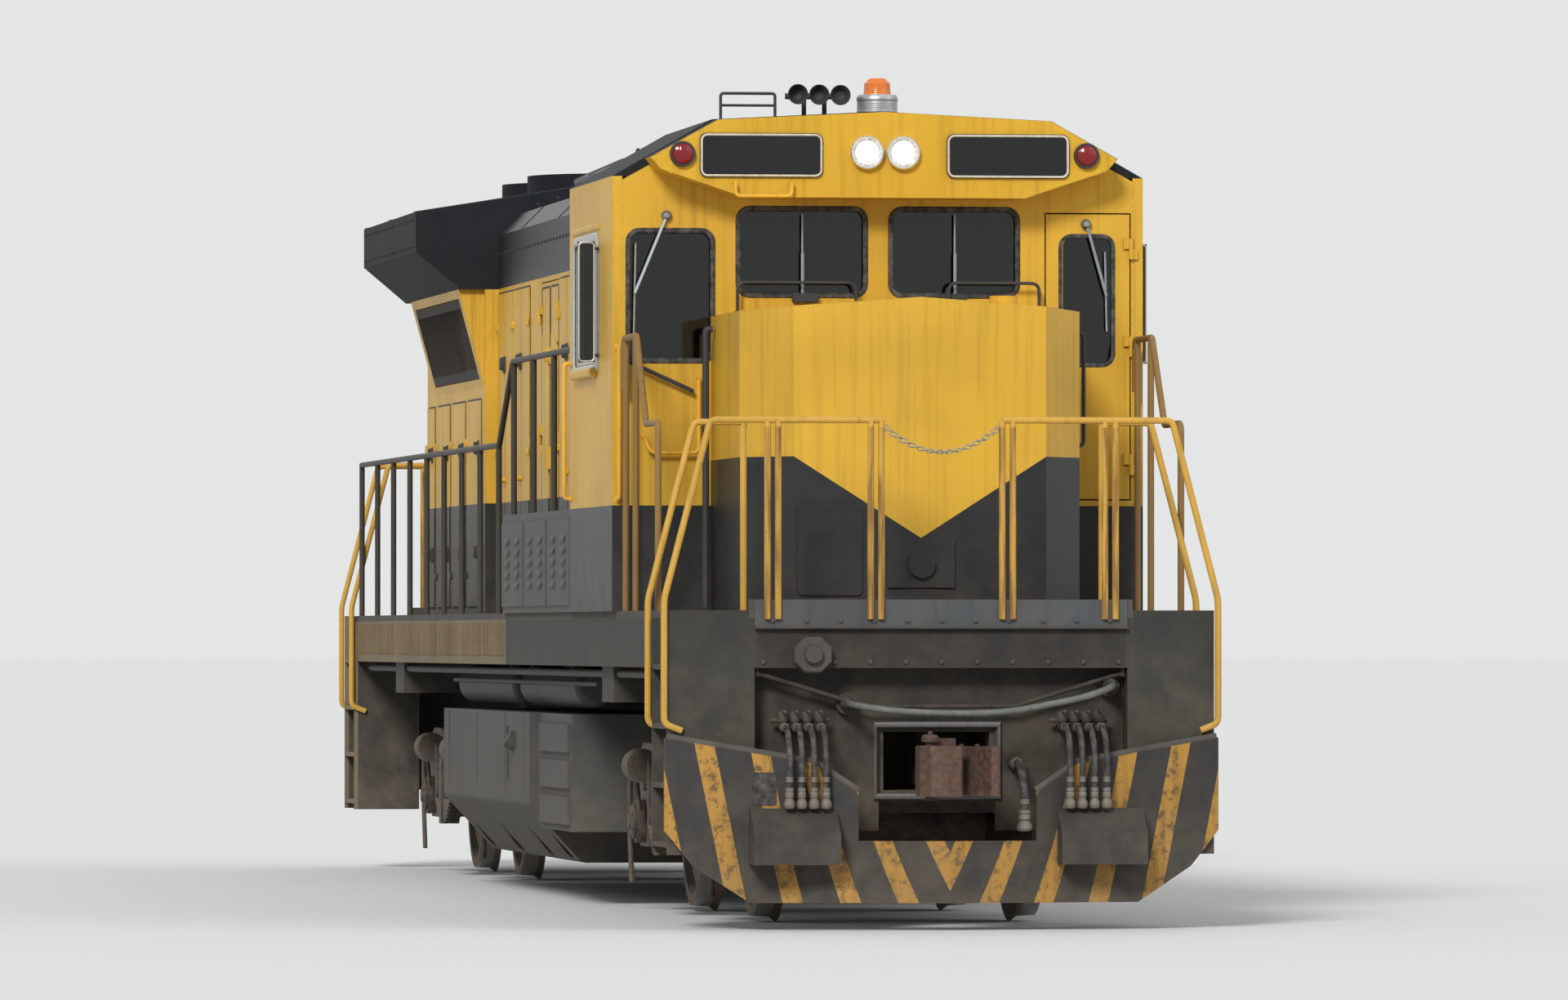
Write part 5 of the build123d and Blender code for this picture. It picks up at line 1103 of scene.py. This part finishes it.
class LOCOMOTIVE_OT_hood_fittings(Operator):
    """Fit door latches, seals, lifting eyes, roof strips and bolt rows on the hoods"""

    bl_idname = "locomotive.hood_fittings"
    bl_label = "Hood fittings"

    def execute(self, context):
        rivet = context.scene.locomotive_sizes.rivet
        handle = placed(pad(0.022, 0.085, 0.026, 0.008), (0, 0.004, 0.008))
        latch = joined([pad(0.05, 0.11, 0.012), handle])
        strap = pad(0.07, 0.05, 0.016, 0.006)
        panel = pad(0.36, 1.30, 0.008, 0.03)
        bolt = lathe([(rivet, 0), (rivet, 0.004), (rivet * 0.6, 0.009), (0, 0.010)], 8)
        # the fixed doors and panels in relief: middle, width, heights, and the face that they stand on
        doors = [(x + half, 0.444, HOOD_DOOR_Z, HOOD_FACE) for x in FIXED_DOORS for half in (-0.235, 0.235)]
        doors += [(x, 2 * half, RADIATOR_DOOR_Z, RADIATOR_SIDE - 0.012) for x, half in RADIATOR_DOORS]
        doors += [(x, width, (2.528, 3.828), HOOD_FACE) for x, width in ((3.65, 1.30), (1.975, 1.65))]
        straps, bolts, latches, seals = [], [], [], []
        for side, side_name in SIDES:
            for x in FIXED_DOORS:
                latches.append(on_side(latch, side, (x - 0.03, x + 0.03), HOOD_PANEL, (2.35, 3.45)))
                straps.append(on_side(strap, side, (x - 0.435, x + 0.435), HOOD_PANEL, (2.05, 2.85, 3.70)))
            for x, half in RADIATOR_DOORS:
                latches.append(on_side(latch, side, [x + half - 0.08], RADIATOR_SIDE, (2.2, 2.9)))
                straps.append(on_side(strap, side, [x - half + 0.03], RADIATOR_SIDE, (2.05, 2.95)))
            # rubber seals round the doors, in the corner between each panel and the hood
            for x, width, (z0, z1), level in doors:
                outline = ring(width + 0.012, z1 - z0 + 0.012, 0.02, 2) + (x, (z0 + z1) / 2)
                seals.append(tube(upright(outline, "y", side * level), (0.005, 0.009), 6, True))
            # the opening doors' fittings and seals ride on their leaves
            for end, end_name in ((-1, "rear"), (1, "front")):
                leaf = [
                    on_side(latch, side, [HOOD_DOOR_X + end * 0.06], HOOD_FACE, (2.35, 3.45)),
                    on_side(strap, side, [HOOD_DOOR_X + end * 0.44], HOOD_FACE, (2.30, 2.85, 3.55)),
                    on_side(panel, side, [HOOD_DOOR_X + end * 0.25], HOOD_FACE, [2.95]),
                ]
                body = f"{side_name}_{end_name}_leaf"
                piece(f"{body}_fittings", leaf, "hood", body)
                outline = ring(0.455, 2.03, 0.03, 2) + (HOOD_DOOR_X + end * 0.252, sum(HOOD_DOOR_Z) / 2)
                seal = tube(upright(outline, "y", side * HOOD_FACE), (0.004, 0.008), 6, True)
                piece(f"{body}_seal", seal, "gasket", body)
            # bolt rows along the hoods' top edges and feet: ends, pitch, face, height
            for first, last, pitch, y, z in (
                (-4.75, 0.92, 0.18, HOOD_FACE, 4.20),
                (-4.75, 0.92, 0.18, HOOD_FACE, 1.815),
                (-8.35, -4.9, 0.15, 1.5, 4.26),
                (-8.35, -4.9, 0.15, 1.5, 4.44),
                (1.0, 4.2, 0.16, 1.09, 4.45),
            ):
                bolts.append(on_side(bolt, side, np.arange(first, last, pitch), y, [z]))
        piece("door_seals", seals, "gasket")

        # raised strips across the roofs where the hatches meet, and lifting eyes beside them
        strips = []
        for x, top, slope_y, edge_y, edge_z, eyes in (
            *[(x, 4.478, 0.79, 0.94, 4.328, True) for x in (-4.6, -3.4, -1.2, 0.1, 0.85)],
            *[(x, 4.618, 0.79, 1.09, 4.488, True) for x in (1.05, 1.75, 3.45, 4.10)],
            *[(x, 4.658, 0.43, 1.50, 4.488, False) for x in (-8.35, -6.65, -4.95)],
        ):
            profile = [(x, -edge_y, edge_z), (x, -slope_y, top), (x, slope_y, top), (x, edge_y, edge_z)]
            strips.append(tube(bent(profile, 0.02, 3), (0.03, 0.006), 6))
            for y in (-0.72, 0.72) if eyes else ():
                feet = [(x + dx, y, top - 0.01) for dx in (0.12, 0.22)]
                strips.append(tube(bent(staple(*feet, (0, 0, 0.06)), 0.03), 0.010, 8))
        piece("roof_strips", strips, "roof")
        piece("hood_hinge_straps", straps, "hood")
        piece("hood_latches", latches, "dark")
        piece("hood_bolts", bolts, "hood")
        return {"FINISHED"}


# Truck fittings
def coil(radius, wire, height, turns, sides=6, steps=14):
    """A coil spring: a round wire carried along the helix (r cos a, r sin a, h a / 2 pi n)."""
    angle = np.linspace(0, 2 * np.pi * turns, int(steps * turns))
    outward = np.stack([np.cos(angle), np.sin(angle), 0 * angle], 1)
    middle = radius * outward + np.outer(height * angle / angle[-1], UP)
    around = np.linspace(0, 2 * np.pi, sides, endpoint=False)[None, :, None]
    rings = middle[:, None] + wire * (np.cos(around) * outward[:, None] - np.sin(around) * np.array(UP))
    return skin(rings[:, ::-1])


class LOCOMOTIVE_OT_truck_fittings(Operator):
    """Fit coil springs, bearing covers, brake rods and sand pipes on both trucks"""

    bl_idname = "locomotive.truck_fittings"
    bl_label = "Truck fittings"

    def execute(self, context):
        spring = coil(0.064, 0.013, 0.084, 3)
        bolt = lathe([(0.013, 0), (0.013, 0.010), (0.007, 0.014), (0, 0.014)], 6)
        cover = [(0.098, 0), (0.105, 0), (0.105, 0.018), (0.090, 0.026), (0.045, 0.030)]
        cover = lathe([*cover, (0.040, 0.042), (0, 0.044)], 24)
        angle = np.radians(np.arange(30, 390, 60))
        circle = 0.082 * np.stack([np.cos(angle), 0 * angle, np.sin(angle)], 1)
        # brake rod from the cylinder down to the shoe, and the sand pipe ahead of the wheel
        runs = (
            ([(0.98, 1.185, 0.87), (1.12, 1.185, 0.87), (1.12, 1.16, 0.60)], 0.04, 0.014),
            ([(2.02, 1.11, 0.86), (2.02, 1.11, 0.45), (1.92, 1.11, 0.16)], 0.08, 0.016),
        )
        for truck_x, body in TRUCKS:
            parts = []
            for side, _ in SIDES:
                for end in (-1, 1):
                    x = truck_x + end * HALF_WHEELBASE
                    parts.append(placed(spring, [(x + dx, side * 1.005, 0.716) for dx in (-0.11, 0.11)]))
                    parts.append(on_side(cover, side, [x], 1.155, [AXLE_HEIGHT]))
                    parts.append(placed(bolt, circle + (x, side * 1.175, AXLE_HEIGHT), (0, side, 0), UP))
                    for run, bend, radius in runs:
                        run = np.array(run) * (end, side, 1) + (truck_x, 0, 0)
                        parts.append(tube(bent(run, bend), radius, 8))
                    along = [truck_x + end * ahead for ahead in (0.20, 0.62, 1.05, 1.72, 1.94)]
                    parts.append(on_side(bolt, side, along, 1.08, [0.90]))
            piece(f"{body}_fittings", parts, "truck", body)
        return {"FINISHED"}


# Frame, tank, pilot, nose and mirror fittings
def plough_face(y):
    """The plough's face, swept back from its point."""
    return PLOUGH_POINT - PLOUGH_SWEEP * abs(y)


class LOCOMOTIVE_OT_frame_fittings(Operator):
    """Fit small parts on the sills, tank, pilots, plough and nose, and the mirrors' glass"""

    bl_idname = "locomotive.frame_fittings"
    bl_label = "Frame fittings"

    def execute(self, context):
        ribs, pipes, treads = [], [], []
        rib = pad(0.014, 0.21, 0.010, 0.004, 0.002, 1)
        plate = pad(0.62, 0.17, 0.006, 0.01, 0.002, 2)
        # ribs along the sill, with every twelfth left out at a sheet's end
        along = np.arange(-8.60, 0.90, 0.115)
        along = along[np.mod(np.floor((along + 8.6) / 0.115), 12) != 11]
        for side, _ in SIDES:
            ribs.append(on_side(rib, side, along, 1.52, [1.615]))
            pipes.append(tube([(-8.5, side * 1.44, 1.415), (8.5, side * 1.44, 1.415)], 0.022, 10))
            pipes.append(tube([(-3.6, side * 1.36, 1.35), (4.6, side * 1.36, 1.35)], 0.015, 8))
            for end, _ in ENDS:
                steps = [(end * 9.08, side * 1.30, TREAD_HEIGHT + n * TREAD_PITCH) for n in range(4)]
                treads.append(placed(plate, steps))
        piece("sill_ribs", ribs, "sill")
        piece("sill_pipes", pipes, "dark")
        piece("step_treads", treads, "deck")

        half = np.array([(-1.43, 1.15), (-1.43, 0.62), (-1.13, 0.235)])
        outline = np.concatenate([half, half[::-1] * (-1, 1)])
        routes = [bent(upright(outline, "x", x), 0.08) for x in (-3.3, -1.6, 0.1, 1.2)]
        straps = [tube(route, (0.045, 0.009), 6) for route in routes]
        piece("tank_straps", straps, "tank")

        socket = lathe([(0.055, 0), (0.055, 0.03), (0.045, 0.045), (0, 0.048)], 16)
        receptacle = joined([pad(0.21, 0.20, 0.08, 0.06, 0.01, 1), placed(socket, (0, 0, 0.075))])
        lever = placed(pad(0.018, 0.12, 0.014), (0.0, 0.03, 0.055))
        cock = joined([lathe([(0.024, 0), (0.03, 0.01), (0.03, 0.05), (0.02, 0.062)], 12), lever])
        bolt = lathe([(0.014, 0), (0.014, 0.010), (0.008, 0.014), (0, 0.014)], 6)
        pin = [(0.050, -0.01), (0.050, 0.016), (0.038, 0.030), (0.014, 0.034), (0.012, 0.05), (0, 0.05)]
        height = DECK_LIP_TOP - BEAM_BOTTOM
        for end, name in ENDS:
            facing = (end, 0, 0)
            parts = [placed(receptacle, (end * END_FACE, end * -0.73, 1.53), facing, UP)]
            for side, _ in SIDES:
                spots = [(end * 9.43, side * (0.685 + n * 0.068), 1.154) for n in range(4)]
                parts.append(placed(cock, spots, UP, facing))
                manifold = [(end * 9.36, side * y, 1.165) for y in (0.62, 0.95)]
                parts.append(tube(manifold, 0.014, 8))
            row = [(end * END_FACE, y, 1.49) for y in np.arange(-1.0, 1.01, 0.2)]
            parts.append(placed(bolt, row, facing, UP))
            piece(f"pilot_fittings_{name}", parts, "dark")

            # end beam: a plate with a lower flange, and its bolts
            beam = pad(2.10, height, 0.010, 0.004, 0.002, 2)
            middle = (end * (END_FACE - 0.002), 0, BEAM_BOTTOM + height / 2)
            edge = [(end * (END_FACE + 0.018), y, BEAM_BOTTOM + 0.006) for y in (-1.05, 1.05)]
            row = [(end * (END_FACE + 0.008), y, 1.72) for y in np.arange(-0.95, 0.96, 0.19)]
            shapes = [placed(beam, middle, facing, UP), tube(edge, (0.006, 0.026), 8)]
            shapes.append(placed(bolt, row, facing, UP))
            piece(f"end_beam_{name}", shapes, "beam")

            # the head of the coupler's knuckle pin, and two bolts beside it
            pins = [placed(lathe(pin, 16), (end * 9.914, end * -0.13, 1.058))]
            pins.append(placed(bolt, [(end * x, end * y, 1.022) for x, y in ((9.80, 0.06), (9.87, 0.14))]))
            piece(f"coupler_pins_{name}", pins, "coupler", f"{name}_coupler")

        # coupler's striker frame, the flange along the plough's top, and a black pad for the shade in the
        # hole in its face
        corners = ((-0.35, 0.74), (0.35, 0.74), (0.35, 1.14), (-0.35, 1.14))
        mouth = [(END_SHEET + 0.01, y, z) for y, z in corners]
        striker = tube(mouth, (0.026, 0.020), 8, closed=True)
        piece("striker_frame", striker, "striker")
        flange = ((1.55, 1.068), (0.74, 0.930), (0.50, 0.770))
        edges = []
        for side, _ in SIDES:
            run = [(plough_face(y) - 0.012, side * y, z) for y, z in flange]
            edges.append(tube(run, (0.010, 0.026), 8))
        piece("plough_top_flange", edges, "dark")
        # painted shade: a thin black pad with the rubber finish stands in for the dark inside of the hole in
        # the plough's face
        pocket_shade = pad(0.135, 0.185, 0.006, 0.012)
        spot = (plough_face(-1.0125) - 0.003, -1.0125, 0.7855)
        pocket_shade = placed(pocket_shade, spot, (1, -PLOUGH_SWEEP, 0), UP)
        piece("plough_pocket_shade", pocket_shade, "gasket")

        # panel on the nose's front, and the pipe up its right side
        slope = 0.035 / 0.72
        panel = pad(0.37, 0.52, 0.012, 0.03, 0.004, 3)
        panel = placed(panel, (8.65 - slope * 0.515 - 0.001, -0.515, 2.12), (1, -slope, 0), UP)
        piece("nose_panel", panel, "nose")
        pipe = bent([(7.10, -0.99, 3.40), (7.10, -1.03, 3.40), (7.10, -1.03, 1.80)], 0.02)
        piece("nose_pipe", tube(pipe, 0.02, 10), "dark")

        # mirror plates in the wind wings: dark glass in an aluminium rim
        plate = pad(0.088, 0.68, 0.004, 0.02)
        places = [(side * 1.625, 3.578) for side, _ in SIDES]
        plates = [placed(plate, (6.272, *middle), (1, 0, 0), UP) for middle in places]
        edges = [upright(ring(0.088, 0.69, 0.02, 4) + middle, "x", 6.274) for middle in places]
        rims = [tube(edge, (0.005, 0.006), 6, closed=True) for edge in edges]
        piece("mirror_plates", plates, "mirror")
        piece("mirror_rims", rims, "alloy")
        return {"FINISHED"}


# Seats
def cushion(width, depth, height, power=4):
    """A crowned cushion, on a grid of angles: superellipse sections whose edges pull in between corners."""
    across = np.linspace(0, 2 * np.pi, 40, endpoint=False)
    rise = np.linspace(-np.pi / 2, np.pi / 2, 15)

    def pushed(value, sharp):
        return np.sign(value) * np.abs(value) ** sharp

    edge = pushed(np.cos(rise), 0.45)[:, None]
    x = width / 2 * edge * pushed(np.cos(across), 0.5)[None]
    y = depth / 2 * edge * pushed(np.sin(across), 0.5)[None]
    crown = 1 - 0.25 * ((2 * x / width) ** power + (2 * y / depth) ** power)
    z = height / 2 * pushed(np.sin(rise), 0.7)[:, None] * crown
    return skin(np.stack([x, y, z], -1))


class LOCOMOTIVE_OT_seats(Operator):
    """Put a padded seat on its pedestal at each side of the cab"""

    bl_idname = "locomotive.seats"
    bl_label = "Cab seats"

    def execute(self, context):
        x, floor = 5.65, CAB_FLOOR
        for side, name in SIDES:
            y = side * 1.05
            foot = lathe([(0.15, 0), (0.15, 0.012), (0.05, 0.03), (0.05, 0.40), (0.11, 0.42)], 20)
            piece(f"seat_pedestal_{name}", placed(foot, (x, y, floor)), "dark")
            shape = placed(cushion(0.45, 0.47, 0.11), (x, y, floor + 0.475))
            seat = piece(f"seat_cushion_{name}", shape, "vinyl", smooth=180)
            shape = placed(cushion(0.45, 0.56, 0.10), (x - 0.225, y, floor + 0.80), (1, 0, 0.11), UP)
            back = piece(f"seat_back_{name}", shape, "vinyl", smooth=180)
            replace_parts(seat, "cab_seats")
        return {"FINISHED"}


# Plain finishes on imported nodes
class LOCOMOTIVE_OT_paint(Operator):
    """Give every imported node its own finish"""

    bl_idname = "locomotive.paint"
    bl_label = "Paint the body"

    def execute(self, context):
        for name, nodes in (
            ("hood", ("engine_hood", "blower_hood", "radiator_cabin")),
            ("hood", [n for n in frame["nodes"] if n.startswith("hood_door")]),
            ("cab", ("cab_front_wall", "cab_side_walls", "cab_rear_wall", "cab_front_door", "cab_rear_door")),
            ("nose", ("nose",)),
            ("roof", ("cab_roof", "radiator_wings", "fan_housings")),
            ("sill", ("underframe", "pilot_front", "pilot_rear")),
            ("deck", ("deck", "cab_floor")),
            ("tank", ("fuel_tank", "valve_box", "air_reservoirs")),
            ("plough", ("plough",)),
            ("lower", ("lockers",)),
            ("side_rail", ("handrails_side",)),
            ("grille", ("radiator_grilles",)),
            ("stack", ("exhaust_stack",)),
            ("engine", ("engine_block",)),
            ("desk", ("control_desk",)),
            ("dark", ("mirrors",)),
            ("galvanised", ("radiator_fan_front", "radiator_fan_rear", "brake_fan")),
            ("truck", ("truck_front", "truck_rear", "motors_front", "motors_rear")),
            ("wheel", [f"wheelset_{n}" for n in range(1, 5)]),
            ("coupler", ("coupler_front", "coupler_rear")),
        ):
            dress(name, *nodes)
        return {"FINISHED"}


class LOCOMOTIVE_PT_panel(Panel):
    """Lists the steps that dress the locomotive"""

    bl_idname = "LOCOMOTIVE_PT_panel"
    bl_label = "Locomotive"
    bl_space_type = "VIEW_3D"
    bl_region_type = "UI"
    bl_category = "Locomotive"

    def draw(self, context):
        layout = self.layout
        for settings in (context.scene.locomotive_colours, context.scene.locomotive_sizes):
            column = layout.column()
            for name in settings.__annotations__:
                column.prop(settings, name)
        for step in STEPS:
            layout.operator(step.bl_idname)


STEPS = (
    LOCOMOTIVE_OT_stage,
    LOCOMOTIVE_OT_hoses,
    LOCOMOTIVE_OT_paint,
    LOCOMOTIVE_OT_windows,
    LOCOMOTIVE_OT_lamps,
    LOCOMOTIVE_OT_bar_work,
    LOCOMOTIVE_OT_hood_fittings,
    LOCOMOTIVE_OT_truck_fittings,
    LOCOMOTIVE_OT_frame_fittings,
    LOCOMOTIVE_OT_seats,
)
CLASSES = (LocomotiveColours, LocomotiveSizes, *STEPS, LOCOMOTIVE_PT_panel)


def register():
    """Registers the settings, the operators and the panel."""
    for each in CLASSES:
        bpy.utils.register_class(each)
    bpy.types.Scene.locomotive_colours = PointerProperty(type=LocomotiveColours)
    bpy.types.Scene.locomotive_sizes = PointerProperty(type=LocomotiveSizes)


def unregister():
    """Takes them out again."""
    del bpy.types.Scene.locomotive_sizes
    del bpy.types.Scene.locomotive_colours
    for each in reversed(CLASSES):
        bpy.utils.unregister_class(each)


def main():
    register()
    for step in STEPS:
        group, _, name = step.bl_idname.partition(".")
        getattr(getattr(bpy.ops, group), name)()


if __name__ == "__main__":
    main()
